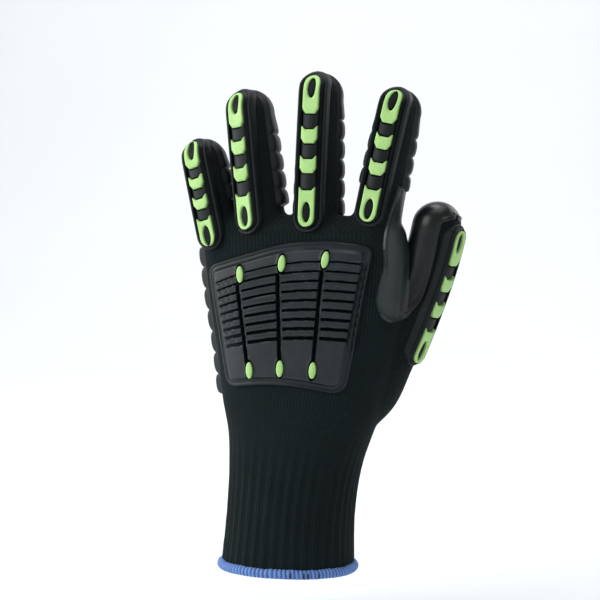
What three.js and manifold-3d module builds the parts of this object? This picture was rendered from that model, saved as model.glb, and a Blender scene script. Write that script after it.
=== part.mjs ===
// A left-hand anti-vibration work glove that keeps its worn form: its back faces -Y, its thumb points to +X
// and its fingers point up. Millimetres, +Z up, with the origin at the middle of the cuff's opening.
// A knitted shell of cuff, palm and five stalls carries moulded rubber on both sides: a knuckle plate and
// five digit guards with bright inserts on the back, and a coating with damping blocks on the palm side.
import * as THREE from "three";
import { mergeVertices } from "three/addons/utils/BufferGeometryUtils.js";
import Module from "manifold-3d";

const wasm = await Module();
wasm.setup();

// Knitted shell
const CUFF_LENGTH = 75; // hem to wrist
const CUFF_WIDTH = 72;
const CUFF_DEPTH = 56;
const PALM_LENGTH = 115; // wrist to finger webs
const PALM_WIDTH = 107;
const PALM_DEPTH = 34;
const KNIT_WALL = 2;
const FINGER_SEAM = 24; // how far up a finger, from its root inside the palm, its stall begins
const THUMB_SEAM = 100; // the same on the thumb
const RIB_COUNT = 40; // ribs round the cuff
const RIB_DEPTH = 0.8;

// Hem
const HEM_HEIGHT = 5.2;
const HEM_THICKNESS = 4.6;
const HEM_OVERHANG = 0.8; // how far the hem's middle stands out from the middle of the knit's wall

// Gaps
const SEAT_GAP = 0.3; // between any two pieces that touch

// Coating of the palm side
const COAT_THICKNESS = 1.3;
const CAP_THICKNESS = 2.4; // over a fingertip
const BLOCK_HEIGHT = 3.6; // damping ribs and blocks, from the knit
const CREST = { from: 0.24, to: 0.78 }; // a block's flat crest, as shares of the pitch of its row
const COAT_SIDE = 0.4; // what is left of a finger coat's thickness at the finger's sides, as a share
const COAT_HEEL = 18; // height of the palm coat's lower edge over the wrist
const COAT_TURN = { from: 0.29, to: 0.79 }; // how far round the palm it goes, shares of a turn from the back
const BLOCK_ROWS = 7;
const BLOCK_PITCH = 11.4;
const THUMB_COAT = 76; // length of the thumb's coat

// Guards and inserts
const GUARD_WIDTH = 16;
const GUARD_HEIGHT = 3.4; // from the knit to the guard's face
const GUARD_DROP = 0.4; // how far its edges reach down the digit, as a share of the digit's radius
const TIP_DROP = 0.4; // how far the back falls away at the tip, in the same share
const TIP_EASE = 1.2; // how far past the tip's bend the back goes on falling, in radii
const INSERT_WIDTH = 8.8;
const INSERT_SINK = 1.6; // how deep an insert sits in its guard
const INSERT_PROUD = 0.7;
const INSERT_CORNER = 1.85; // how far a cut corner or a horn reaches
const WINDOW_WIDTH = 4;
const WINDOW_LENGTH = 9.6;

// Knuckle plate, with how far its middle is across and over the wrist
const PLATE_WIDTH = 91;
const PLATE_LENGTH = 77;
const PLATE_ACROSS = 6.7;
const PLATE_UP = 62.6;
const FLANGE_HEIGHT = 2;
const FIELD_HEIGHT = 4.8; // the raised field inside the flange
const FLANGE_WIDTH = 4.5;
const GROOVE_DEPTH = 1.7;
const GROOVE_COUNT = 9;
const SLOT_WIDTH = 1.7; // the long grooves
const STUD_WIDTH = 3.8;
const STUD_LENGTH = 8.8;
const STUD_PROUD = 0.6;

// Facets
const PALM_SIDES = 24;
const DIGIT_SIDES = 12;
const HOLLOW_SIDES = { palm: 20, digit: 8 };
const DOME_STEPS = 3;
const ARC_STEPS = 2; // on a quarter turn
const OVAL_SIDES = 8;
const AXIS_STEPS = 24; // along a digit
const WELD = 1e-3; // points nearer than this are one point
const KNIT_RADIUS = 50; // the radius that stands for the knit's surface in a lathe, before it is fitted to it

// Sections of the cuff, from the hem up: up as a share of CUFF_LENGTH, across and width of CUFF_WIDTH,
// back and depth of CUFF_DEPTH. Square is the section's exponent, 2 for an ellipse.
const CUFF_SECTIONS = [
  { up: 0, across: -0.005, back: 0, width: 1.015, depth: 1, square: 2.1 },
  { up: 0.42, across: 0.024, back: -0.008, width: 0.972, depth: 0.955, square: 2.1 },
  { up: 0.75, across: 0.062, back: -0.017, width: 1.005, depth: 0.91, square: 2.15 },
];
// Sections of the palm, from the wrist up: shares of PALM_LENGTH, PALM_WIDTH and PALM_DEPTH.
const PALM_SECTIONS = [
  { up: 0, across: 0.07, back: -0.047, width: 0.74, depth: 1.41, square: 2.2 },
  { up: 0.13, across: 0.087, back: -0.064, width: 0.823, depth: 1.32, square: 2.3 },
  { up: 0.365, across: 0.106, back: -0.094, width: 0.915, depth: 1.176, square: 2.5 },
  { up: 0.72, across: 0.104, back: -0.125, width: 1.018, depth: 0.97, square: 2.6 },
  { up: 0.87, across: 0.096, back: -0.125, width: 1.032, depth: 0.82, square: 2.6 },
  { up: 0.965, across: 0.082, back: -0.125, width: 0.99, depth: 0.62, square: 2.6 },
  { up: 1, across: 0.075, back: -0.125, width: 0.88, depth: 0.32, square: 2.6 },
];

// Girth of a digit from its root to where its round tip begins, as shares of its length and its width.
const FINGER_GIRTH = [
  { along: 0, girth: 1.14 },
  { along: 0.36, girth: 1.06 },
  { along: 0.88, girth: 0.93 },
];
const THUMB_GIRTH = [
  { along: 0, girth: 1.13 },
  { along: 0.16, girth: 1.42 },
  { along: 0.32, girth: 1.22 },
  { along: 0.52, girth: 1.04 },
  { along: 0.9, girth: 1 },
];

// Digits, with lengths and widths in millimetres and angles in degrees. Root is shares of PALM_WIDTH,
// PALM_DEPTH and PALM_LENGTH from the wrist. A digit leans to +X and curls to the palm by angles that go
// from the root's to the tip's. Roll turns its back from -Y towards +X. Guard and cap are the lengths of
// its guard, which ends over the tip by a little, and of its coat's fingertip, below which come its ribs.
const FINGERS = [
  {
    name: "little", length: 62.5, width: 20, guard: 60, over: 2.6, cap: 16, ribs: 2, ribPitch: 8.8,
    root: { across: -0.306, back: -0.12, up: 0.8 }, lean: [-14.5, -16.5], curl: [2, 10], roll: -13,
  },
  {
    name: "ring", length: 84.5, width: 22.4, guard: 77, over: 2.6, cap: 26, ribs: 3, ribPitch: 9.7,
    root: { across: -0.1, back: -0.12, up: 0.826 }, lean: [-7.6, -9.2], curl: [2, 9], roll: -17,
  },
  {
    name: "middle", length: 92.5, width: 22, guard: 84, over: 2.6, cap: 25, ribs: 4, ribPitch: 10.3,
    root: { across: 0.158, back: -0.12, up: 0.826 }, lean: [0.4, 0.1], curl: [2, 8], roll: -4,
  },
  {
    name: "index", length: 85.5, width: 22, guard: 73.5, over: 2.6, cap: 22, ribs: 3, ribPitch: 9.6,
    root: { across: 0.43, back: -0.12, up: 0.826 }, lean: [10, 10.8], curl: [2, 9], roll: -3,
  },
].map((finger) => ({ ...finger, seam: FINGER_SEAM, girth: FINGER_GIRTH }));
const THUMB = {
  name: "thumb", length: 127, width: 24, guard: 75, over: -8, seam: THUMB_SEAM, girth: THUMB_GIRTH,
  root: { across: 0.29, back: 0.06, up: 0.06 }, lean: [38, 10], curl: [7, -4], roll: 72,
};
const DIGITS = [...FINGERS, THUMB];

// The four inserts of a guard, from the tip down: where each starts and how long it is, as shares of the
// guard's length, with the form of its ends and the place of its window as a share of its own length.
const INSERTS = [
  { name: "tip", from: 0.725, length: 0.24, top: "round", bottom: "cut", window: 0.66 },
  { name: "upper", from: 0.542, length: 0.085, top: "horned", bottom: "cut" },
  { name: "lower", from: 0.36, length: 0.085, top: "horned", bottom: "cut" },
  { name: "base", from: 0.035, length: 0.22, top: "horned", bottom: "round", window: 0.4 },
];

// Outline of the knuckle plate, a row for each corner or bend going round: shares of PLATE_WIDTH and
// PLATE_LENGTH from its middle, and how far the rounding reaches, as a share of PLATE_WIDTH.
const PLATE_OUTLINE = [
  { x: -0.512, y: 0.332, round: 0.07 },
  { x: 0.078, y: 0.54, round: 0.25 },
  { x: 0.502, y: 0.488, round: 0.07 },
  { x: 0.35, y: -0.519, round: 0.1 },
  { x: -0.038, y: -0.445, round: 0.2 },
  { x: -0.381, y: -0.499, round: 0.08 },
];
// The upper and the lower stud of each long slot, in the same shares, and how far they lean in degrees.
const SLOTS = [
  { top: { x: -0.279, y: 0.284 }, bottom: { x: -0.212, y: -0.364 }, lean: 4 },
  { top: { x: -0.023, y: 0.365 }, bottom: { x: -0.022, y: -0.343 }, lean: -4 },
  { top: { x: 0.234, y: 0.396 }, bottom: { x: 0.174, y: -0.347 }, lean: -8 },
];
// The first and the last cross groove, with the others spread between them: heights at the left end, the
// middle and the right end as shares of PLATE_LENGTH, the two ends as shares of PLATE_WIDTH.
const GROOVES = {
  first: { left: 0.216, middle: 0.364, right: 0.369, from: -0.44, to: 0.44, width: 0.8 },
  last: { left: -0.22, middle: -0.138, right: -0.142, from: -0.38, to: 0.37, width: 1.6 },
};
// Outline of the web's leaf on the back, a row for each corner going round: shares of PALM_WIDTH and
// PALM_LENGTH from the wrist, with its far side past the edge of the glove.
const LEAF_OUTLINE = [
  { x: 0.56, y: 0.5 },
  { x: 0.75, y: 0.52 },
  { x: 0.75, y: 1.095 },
  { x: 0.57, y: 1.095 },
  { x: 0.53, y: 0.95 },
  { x: 0.52, y: 0.75 },
  { x: 0.52, y: 0.61 },
];
const LEAF_MIDDLE = { x: 0.6, y: 0.8 }; // a clearance grows the outline away from here

const KNIT = { color: 0x14181a, roughness: 0.95, metalness: 0 };
const RUBBER = { color: 0x2b3036, roughness: 0.5, metalness: 0 };
const COATING = { color: 0x24292c, roughness: 0.6, metalness: 0 };
const LIME = { color: 0xbdf07e, roughness: 0.45, metalness: 0 };
const BLUE_YARN = { color: 0x5a82cc, roughness: 0.9, metalness: 0 };

const degrees = THREE.MathUtils.degToRad;
const { lerp, clamp } = THREE.MathUtils;

// A closed geometry as a solid that can be joined and cut.
function solidOf(geometry) {
  const bare = new THREE.BufferGeometry().setAttribute("position", geometry.getAttribute("position").clone());
  if (geometry.index) bare.setIndex(geometry.index.clone());
  const merged = mergeVertices(bare, WELD);
  const corners = Array.from(merged.index.array);
  const kept = [];
  for (let i = 0; i < corners.length; i += 3) {
    const [a, b, c] = corners.slice(i, i + 3);
    if (a !== b && b !== c && a !== c) kept.push(a, b, c);
  }
  const vertProperties = new Float32Array(merged.attributes.position.array);
  return new wasm.Manifold(new wasm.Mesh({ numProp: 3, vertProperties, triVerts: new Uint32Array(kept) }));
}

// A solid as a named mesh with its own material. Of a solid that cuts have parted, the main body is kept.
function meshOf(name, solid, finish) {
  const bodies = solid.decompose().sort((a, b) => b.volume() - a.volume());
  const { vertProperties, triVerts } = bodies[0].getMesh();
  const geometry = new THREE.BufferGeometry();
  geometry.setAttribute("position", new THREE.BufferAttribute(new Float32Array(vertProperties), 3));
  geometry.setIndex(new THREE.BufferAttribute(new Uint32Array(triVerts), 1));
  geometry.computeVertexNormals();
  const mesh = new THREE.Mesh(geometry, new THREE.MeshStandardMaterial(finish));
  mesh.name = name;
  return mesh;
}

// A closed solid swept through loops of points that all follow one outline, which also fills the two ends.
// The outline runs clockwise, seen along the sweep.
function sweptSolid(loops, outline) {
  const count = outline.length;
  const corners = [];
  for (let i = 1; i < loops.length; i++) {
    for (let j = 0; j < count; j++) {
      const [a, b] = [(i - 1) * count + j, (i - 1) * count + ((j + 1) % count)];
      corners.push(a, a + count, b, b, a + count, b + count);
    }
  }
  const last = (loops.length - 1) * count;
  for (const [a, b, c] of THREE.ShapeUtils.triangulateShape(outline, [])) {
    corners.push(c, b, a, last + a, last + b, last + c);
  }
  return solidOf(new THREE.BufferGeometry().setFromPoints(loops.flat()).setIndex(corners));
}

function union(solids) {
  return solids.reduce((whole, next) => whole.add(next));
}

// Moves each vertex of a geometry to where place(x, y, z) says.
function mapped(geometry, place) {
  const position = geometry.getAttribute("position");
  for (let i = 0; i < position.count; i++) {
    const moved = place(position.getX(i), position.getY(i), position.getZ(i));
    position.setXYZ(i, moved.x, moved.y, moved.z);
  }
  return geometry;
}

// A row between two rows of a table, all of whose columns are numbers.
function between(a, b, share) {
  return Object.fromEntries(Object.keys(a).map((key) => [key, lerp(a[key], b[key], share)]));
}

// A table's sections in millimetres, from a height up.
function sectionsOf(rows, foot, length, width, depth) {
  return rows.map((row) => ({
    height: foot + row.up * length,
    x: row.across * width,
    y: row.back * depth,
    halfWidth: (row.width * width) / 2,
    halfDepth: (row.depth * depth) / 2,
    square: row.square,
  }));
}

const SECTIONS = [
  ...sectionsOf(CUFF_SECTIONS, 0, CUFF_LENGTH, CUFF_WIDTH, CUFF_DEPTH),
  ...sectionsOf(PALM_SECTIONS, CUFF_LENGTH, PALM_LENGTH, PALM_WIDTH, PALM_DEPTH),
];
const knitFoot = HEM_HEIGHT + SEAT_GAP;
const palmTop = CUFF_LENGTH + PALM_LENGTH;
const ROW_SPACING = 1; // rows nearer than this to an end are left out
const middleY = PALM_SECTIONS[0].back * PALM_DEPTH; // the plane between the back and the palm side

// The two sections round a height, and the height's share of the way between them.
function sectionsRound(height) {
  let low = 0;
  while (low < SECTIONS.length - 2 && SECTIONS[low + 1].height < height) low++;
  const [a, b] = [SECTIONS[low], SECTIONS[low + 1]];
  return { a, b, share: clamp((height - a.height) / (b.height - a.height), 0, 1) };
}

function sectionAt(height) {
  const { a, b, share } = sectionsRound(height);
  return between(a, b, share);
}

// A point on the shell grown by some millimetres, on the straight line between the two sections round it.
// The angle is 0 at the back and turns to +X.
function palmPoint(angle, height, grow) {
  const { a, b, share } = sectionsRound(height);
  const [from, to] = [a, b].map((section) => {
    const bulge = (v) => Math.sign(v) * Math.abs(v) ** (2 / section.square);
    const x = section.x + (section.halfWidth + grow) * bulge(Math.sin(angle));
    return new THREE.Vector3(x, section.y - (section.halfDepth + grow) * bulge(Math.cos(angle)), height);
  });
  return from.lerp(to, share);
}

// A lathe of [grow, height] points round the cuff and palm. Ribs sinks it further by angle and height.
function latheOnPalm(points, sides, ribs = () => 0) {
  const profile = points.map(([grow, height]) => new THREE.Vector2(KNIT_RADIUS + grow, height));
  if (profile[0].distanceTo(profile.at(-1)) > SEAT_GAP) {
    profile.unshift(new THREE.Vector2(0, profile[0].y));
    profile.push(new THREE.Vector2(0, profile.at(-1).y));
  }
  return solidOf(mapped(new THREE.LatheGeometry(profile, sides), (x, y, z) => {
    const radius = Math.hypot(x, z);
    if (radius < 1) return new THREE.Vector3(sectionAt(y).x, sectionAt(y).y, y);
    const angle = Math.atan2(x, z);
    return palmPoint(angle, y, radius - KNIT_RADIUS - ribs(angle, y));
  }));
}

// The heights of the sections that lie between two heights, with both of them.
function heightsBetween(from, to) {
  const heights = SECTIONS.map((row) => row.height);
  return [from, ...heights.filter((height) => height > from + ROW_SPACING && height < to - ROW_SPACING), to];
}

// The cuff and palm as one solid from a height up, grown by some millimetres, also at its top.
function palmSolid(grow, from, sides = PALM_SIDES) {
  return latheOnPalm(heightsBetween(from, palmTop + grow).map((height) => [grow, height]), sides);
}

// A digit's axis: a curve whose direction turns evenly from the root to the tip.
function digitAxis(digit) {
  const point = new THREE.Vector3(
    digit.root.across * PALM_WIDTH,
    digit.root.back * PALM_DEPTH,
    CUFF_LENGTH + digit.root.up * PALM_LENGTH,
  );
  const points = [point.clone()];
  for (let i = 0; i < AXIS_STEPS; i++) {
    const share = (i + 0.5) / AXIS_STEPS;
    const lean = degrees(lerp(digit.lean[0], digit.lean[1], share));
    const curl = degrees(lerp(digit.curl[0], digit.curl[1], share));
    const step = new THREE.Vector3(
      Math.sin(lean) * Math.cos(curl),
      Math.sin(curl),
      Math.cos(lean) * Math.cos(curl),
    );
    point.addScaledVector(step, digit.length / AXIS_STEPS);
    points.push(point.clone());
  }
  return new THREE.CatmullRomCurve3(points);
}

for (const digit of DIGITS) digit.axis = digitAxis(digit);

// Where a digit's axis is at a distance from its root, and which way its side and its back point there.
function digitFrame(digit, along) {
  const share = clamp(along / digit.length, 0, 1);
  const tangent = digit.axis.getTangentAt(share).normalize();
  const origin = digit.axis.getPointAt(share).addScaledVector(tangent, along - share * digit.length);
  const roll = degrees(digit.roll);
  const back = new THREE.Vector3(Math.sin(roll), -Math.cos(roll), 0);
  back.addScaledVector(tangent, -back.dot(tangent)).normalize();
  return { origin, back, side: new THREE.Vector3().crossVectors(tangent, back) };
}

// Bends a geometry along a digit: its x goes to the side, y along the digit and z out of its back.
function ontoDigit(geometry, digit) {
  return mapped(geometry, (x, y, z) => {
    const { origin, side, back } = digitFrame(digit, y);
    return origin.addScaledVector(side, x).addScaledVector(back, z);
  });
}

// A digit's radius at a distance from its root, before its tip rounds off.
function digitRadius(digit, along) {
  const rows = digit.girth;
  const share = along / digit.length;
  let low = 0;
  while (low < rows.length - 2 && rows[low + 1].along < share) low++;
  const part = clamp((share - rows[low].along) / (rows[low + 1].along - rows[low].along), 0, 1);
  return (between(rows[low], rows[low + 1], part).girth * digit.width) / 2;
}

// The distances along a digit at which its solids have a section, between two distances.
function digitRows(digit, from, to) {
  const rows = [...digit.girth.map((row) => row.along * digit.length), digit.seam].sort((a, b) => a - b);
  return rows.filter((row) => row > from + ROW_SPACING && row < to - ROW_SPACING);
}

// The round tip of a digit, grown by some millimetres, as lathe points.
function digitDome(digit, grow) {
  const radius = digitRadius(digit, digit.length) + grow;
  const start = digit.length - radius + grow;
  return Array.from({ length: DOME_STEPS + 1 }, (_, i) => {
    const angle = ((Math.PI / 2) * i) / DOME_STEPS;
    const out = i === DOME_STEPS ? 0 : radius * Math.cos(angle);
    return new THREE.Vector2(out, start + radius * Math.sin(angle));
  });
}

// A digit as a solid grown by some millimetres, from one distance to another or to its tip.
function digitSolid(digit, from, to, grow, sides = DIGIT_SIDES) {
  const dome = digitDome(digit, grow);
  const end = to ?? dome[0].y;
  const rim = (along) => new THREE.Vector2(digitRadius(digit, along) + grow, along);
  const profile = [new THREE.Vector2(0, from), ...[from, ...digitRows(digit, from, end)].map(rim)];
  if (to === undefined) profile.push(...dome);
  else profile.push(rim(to), new THREE.Vector2(0, to));
  return solidOf(ontoDigit(new THREE.LatheGeometry(profile, sides), digit));
}

// The whole form of the shell, grown by some millimetres, from a height up.
function shellForm(grow, from, sides = { palm: PALM_SIDES, digit: DIGIT_SIDES }) {
  const digits = DIGITS.map((digit) => digitSolid(digit, 0, undefined, grow, sides.digit));
  return union([palmSolid(grow, from, sides.palm), ...digits]);
}

const hollow = shellForm(-KNIT_WALL, -HEM_HEIGHT, HOLLOW_SIDES);
const seat = shellForm(SEAT_GAP, -HEM_HEIGHT); // what every piece that lies on the knit is cut by

// The ribbed cuff. Its ribs fade out towards the wrist.
function knitCuff() {
  const heights = heightsBetween(knitFoot, CUFF_LENGTH);
  const ribs = (angle, height) => {
    const fade = clamp((2 * (CUFF_LENGTH - height)) / CUFF_LENGTH, 0, 1);
    return (RIB_DEPTH * fade * (1 - Math.cos(angle * RIB_COUNT))) / 2;
  };
  return latheOnPalm(heights.map((height) => [0, height]), 2 * RIB_COUNT, ribs).subtract(hollow);
}

// The palm of the shell, with a stub for each digit.
function knitPalm() {
  const stubs = DIGITS.map((digit) => digitSolid(digit, 0, digit.seam, 0));
  return union([palmSolid(0, CUFF_LENGTH + SEAT_GAP), ...stubs]).subtract(hollow);
}

function knitStall(digit) {
  return digitSolid(digit, digit.seam + SEAT_GAP, undefined, 0).subtract(hollow);
}

// The overlocked edge: a ring under the knit, a little thicker than it.
function hem() {
  const middle = HEM_OVERHANG - KNIT_WALL / 2;
  const half = HEM_THICKNESS / 2;
  const outline = [
    [-half, HEM_HEIGHT / 2], [-half / 2, 0], [half / 2, 0],
    [half, HEM_HEIGHT / 2], [half / 2, HEM_HEIGHT], [-half / 2, HEM_HEIGHT],
  ].map(([out, height]) => [middle + out, height]);
  return latheOnPalm([...outline, outline[0]], PALM_SIDES);
}

// How far a digit's axis lies under the back of the palm at a distance from its root.
function underPalm(digit, along) {
  const { origin } = digitFrame(digit, along);
  if (digit === THUMB || origin.z > palmTop) return 0;
  const { x, y, halfWidth, halfDepth, square } = sectionAt(origin.z);
  const across = Math.min(1, Math.abs(origin.x - x) / halfWidth);
  return origin.y - y + halfDepth * (1 - across ** square) ** (1 / square);
}

// How far the shell's back is from a digit's axis at a distance from its root, easing down over its tip.
function backReach(digit, along) {
  const radius = digitRadius(digit, along);
  const past = clamp((along - digit.length + radius) / radius, 0, TIP_EASE);
  return Math.max(radius * (1 - TIP_DROP * past * past), underPalm(digit, along));
}

// A flat shape as a plate between two heights over the back of a digit, bent along it.
function plateOnDigit(shape, digit, low, high) {
  const options = { depth: high - low, bevelEnabled: false, curveSegments: ARC_STEPS };
  const geometry = mapped(new THREE.ExtrudeGeometry(shape, options), (x, y, z) => {
    return new THREE.Vector3(x, y, z + low + backReach(digit, y));
  });
  return solidOf(ontoDigit(geometry, digit));
}

// An outline with two round ends, from one distance along a digit to another.
function strip(width, from, to) {
  const radius = width / 2;
  const heights = [from + radius, (from + to) / 2];
  const shape = new THREE.Shape();
  shape.moveTo(radius, heights[0]);
  for (const y of heights.slice(1)) shape.lineTo(radius, y);
  shape.absarc(0, to - radius, radius, 0, Math.PI, false);
  for (const y of heights.reverse()) shape.lineTo(-radius, y);
  shape.absarc(0, from + radius, radius, Math.PI, 2 * Math.PI, false);
  return shape;
}

// An upright oval as a shape or a path, leaning by some degrees.
function oval(Outline, middle, halfWidth, halfLength, lean) {
  return new Outline(Array.from({ length: OVAL_SIDES }, (_, i) => {
    const turn = ((i + 0.5) / OVAL_SIDES) * 2 * Math.PI;
    const point = new THREE.Vector2(halfWidth * Math.cos(turn), halfLength * Math.sin(turn));
    return point.rotateAround(new THREE.Vector2(), degrees(lean)).add(middle);
  }));
}

// The outline of an insert, or of its pocket when it is grown by a clearance.
function insertShape(digit, insert, clearance) {
  const start = digit.length + digit.over - digit.guard * (1 - insert.from);
  const bottom = start - clearance;
  const top = start + insert.length * digit.guard + clearance;
  const half = INSERT_WIDTH / 2 + clearance;
  const corner = INSERT_CORNER;
  const horn = INSERT_CORNER + Math.SQRT2 * clearance;
  const sideShares = insert.top === "round" ? [1 / 3, 2 / 3] : [];
  const sides = sideShares.map((share) => lerp(bottom + corner, top - half, share));
  const shape = new THREE.Shape();
  if (insert.bottom === "round") {
    shape.absarc(0, bottom + half, half, Math.PI, 2 * Math.PI, false);
  } else {
    shape.moveTo(-half, bottom + corner);
    shape.lineTo(-half + corner, bottom);
    shape.lineTo(half - corner, bottom);
    shape.lineTo(half, bottom + corner);
  }
  for (const y of sides) shape.lineTo(half, y);
  if (insert.top === "round") {
    shape.absarc(0, top - half, half, 0, Math.PI, false);
  } else {
    shape.lineTo(half, top + horn);
    shape.lineTo(half - horn, top);
    shape.lineTo(-half + horn, top);
    shape.lineTo(-half, top + horn);
  }
  for (const y of sides.reverse()) shape.lineTo(-half, y);
  if (insert.window && clearance === 0) {
    const middle = new THREE.Vector2(0, start + insert.window * insert.length * digit.guard);
    shape.holes.push(oval(THREE.Path, middle, WINDOW_WIDTH / 2, WINDOW_LENGTH / 2, 0));
  }
  return shape;
}

// A digit's guard, down to where it meets the knit at its edges. It can be grown by a clearance.
function guardBlank(digit, clearance) {
  const end = digit.length + digit.over;
  const shape = strip(GUARD_WIDTH + 2 * clearance, end - digit.guard - clearance, end + clearance);
  return plateOnDigit(shape, digit, -GUARD_DROP * digitRadius(digit, digit.length) - clearance, GUARD_HEIGHT);
}

// A digit's guard, seated on the knit and with a pocket for each insert.
function guard(digit) {
  const floor = GUARD_HEIGHT - INSERT_SINK - 2 * SEAT_GAP;
  const pockets = INSERTS.map((insert) => {
    return plateOnDigit(insertShape(digit, insert, SEAT_GAP), digit, floor, 2 * GUARD_HEIGHT);
  });
  return guardBlank(digit, 0).subtract(seat).subtract(union(pockets));
}

function insertSolid(digit, insert) {
  const shape = insertShape(digit, insert, 0);
  return plateOnDigit(shape, digit, GUARD_HEIGHT - INSERT_SINK, GUARD_HEIGHT + INSERT_PROUD);
}

// A flat shape run along Y from the glove's middle plane out through its back. It can start past the plane.
function throughBack(shape, past = 0) {
  const options = { depth: PALM_DEPTH + CUFF_DEPTH, bevelEnabled: false, curveSegments: ARC_STEPS };
  const geometry = new THREE.ExtrudeGeometry(shape, options);
  return solidOf(mapped(geometry, (x, y, z) => new THREE.Vector3(x, middleY + past - z, y)));
}

// A point on the knuckle plate from shares of its width and length, drawn in by an inset.
function onPlate(row, inset = 0) {
  return new THREE.Vector2(
    PLATE_ACROSS + row.x * (PLATE_WIDTH - 2 * inset),
    CUFF_LENGTH + PLATE_UP + row.y * (PLATE_LENGTH - 2 * inset),
  );
}

// The plate's outline with each corner rounded, drawn in by an inset.
function plateShape(inset) {
  const shape = new THREE.Shape();
  PLATE_OUTLINE.forEach((row, i) => {
    const corner = onPlate(row, inset);
    const before = onPlate(PLATE_OUTLINE.at(i - 1), inset);
    const after = onPlate(PLATE_OUTLINE[(i + 1) % PLATE_OUTLINE.length], inset);
    const reach = row.round * PLATE_WIDTH;
    const into = corner.clone().add(before.sub(corner).setLength(reach));
    const out = corner.clone().add(after.sub(corner).setLength(reach));
    if (i === 0) shape.moveTo(into.x, into.y);
    else shape.lineTo(into.x, into.y);
    shape.quadraticCurveTo(corner.x, corner.y, out.x, out.y);
  });
  return shape;
}

// One cross groove: a band along a curve through its left end, its middle and its right end.
function grooveShape(share) {
  const row = between(GROOVES.first, GROOVES.last, share);
  const half = row.width / 2;
  const left = onPlate({ x: row.from, y: row.left });
  const right = onPlate({ x: row.to, y: row.right });
  const middle = onPlate({ x: (row.from + row.to) / 2, y: row.middle });
  const control = 2 * middle.y - (left.y + right.y) / 2;
  const shape = new THREE.Shape();
  shape.moveTo(left.x, left.y - half);
  shape.quadraticCurveTo(middle.x, control - half, right.x, right.y - half);
  shape.lineTo(right.x, right.y + half);
  shape.quadraticCurveTo(middle.x, control + half, left.x, left.y + half);
  return shape;
}

function slotShape({ top, bottom }) {
  const [high, low] = [onPlate(top), onPlate(bottom)];
  const half = SLOT_WIDTH / 2;
  const ends = [[low, -half], [low, half], [high, half], [high, -half]];
  return new THREE.Shape(ends.map(([end, out]) => new THREE.Vector2(end.x + out, end.y)));
}

// A stud's outline, or its socket's when it is grown by a clearance.
function studShape({ place, lean }, clearance) {
  return oval(THREE.Shape, onPlate(place), STUD_WIDTH / 2 + clearance, STUD_LENGTH / 2 + clearance, lean);
}

const STUDS = SLOTS.flatMap(({ top, bottom, lean }) => [
  { place: top, lean },
  { place: bottom, lean: lean / 2 },
]);
const plateFoot = CUFF_LENGTH + PLATE_UP - PLATE_LENGTH;
const fieldFace = SEAT_GAP + FIELD_HEIGHT;
const grooveFloor = palmSolid(fieldFace - GROOVE_DEPTH, plateFoot);
const socketFloor = palmSolid(fieldFace - GROOVE_DEPTH - SEAT_GAP, plateFoot);

// The knuckle plate: a flange and a raised field that follow the back of the glove, with cross grooves,
// long slots and a socket for each stud.
function knucklePlate() {
  const flange = palmSolid(SEAT_GAP + FLANGE_HEIGHT, plateFoot).intersect(throughBack(plateShape(0)));
  const field = palmSolid(fieldFace, plateFoot).intersect(throughBack(plateShape(FLANGE_WIDTH)));
  const shares = Array.from({ length: GROOVE_COUNT }, (_, i) => i / (GROOVE_COUNT - 1));
  const shapes = [...shares.map(grooveShape), ...SLOTS.map(slotShape)];
  const cuts = union(shapes.map((shape) => throughBack(shape))).subtract(grooveFloor);
  const sockets = union(STUDS.map((stud) => throughBack(studShape(stud, SEAT_GAP)))).subtract(socketFloor);
  return flange.add(field).subtract(palmSolid(SEAT_GAP, plateFoot)).subtract(cuts).subtract(sockets);
}

function studSolid(stud) {
  const head = palmSolid(fieldFace + STUD_PROUD, plateFoot);
  return throughBack(studShape(stud, 0)).intersect(head).subtract(grooveFloor);
}

// The outer points of a row of ribs, each from a valley up to a flat crest: [thickness, distance] pairs.
function ribPoints(count, pitch, foot) {
  return Array.from({ length: count }, (_, i) => {
    const start = foot + i * pitch;
    const crest = [CREST.from, CREST.to].map((share) => [BLOCK_HEIGHT, start + share * pitch]);
    return [[COAT_THICKNESS, start], ...crest];
  }).flat();
}

// A coat on the palm side of a digit, from outer [thickness, distance] points that end where its tip rounds
// off. It covers an even number of the knit's facets and thins towards its sides.
function digitCoat(digit, points, facets, side) {
  const radius = digitRadius(digit, digit.length);
  const foot = points[0][1];
  const bend = digit.length - radius;
  const rows = digitRows(digit, foot, bend);
  const straight = (thickness, s) => ({ thickness, s, out: digitRadius(digit, s) + SEAT_GAP, rise: 0 });
  const dome = (thickness) => Array.from({ length: DOME_STEPS + 1 }, (_, i) => {
    const rise = ((Math.PI / 2) * i) / DOME_STEPS;
    const out = i === DOME_STEPS ? 0 : (radius + SEAT_GAP) * Math.cos(rise);
    return { thickness, s: bend + (radius + SEAT_GAP) * Math.sin(rise), out, rise };
  });
  const outer = [
    ...points.map(([thickness, s]) => straight(thickness - SEAT_GAP, s)),
    ...dome(points.at(-1)[0]),
  ];
  const inner = [...[foot, ...rows].map((s) => straight(0, s)), ...dome(0)].reverse();
  const slices = Array.from({ length: facets + 1 }, (_, i) => {
    const angle = ((facets / 2 - i) * 2 * Math.PI) / DIGIT_SIDES;
    const thin = lerp(side, 1, Math.max(0, Math.cos(angle)));
    return [...outer, ...inner].map((point) => {
      const grow = point.thickness * lerp(thin, 1, Math.sin(point.rise));
      const out = point.out + grow * Math.cos(point.rise);
      return { along: point.s + grow * Math.sin(point.rise), out, angle };
    });
  });
  const loops = slices.map((slice) => slice.map(({ along, out, angle }) => {
    const { origin, side: across, back } = digitFrame(digit, along);
    origin.addScaledVector(across, out * Math.sin(angle));
    return origin.addScaledVector(back, -out * Math.cos(angle));
  }));
  return sweptSolid(loops, slices[0].map(({ along, out }) => new THREE.Vector2(along, out)));
}

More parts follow.
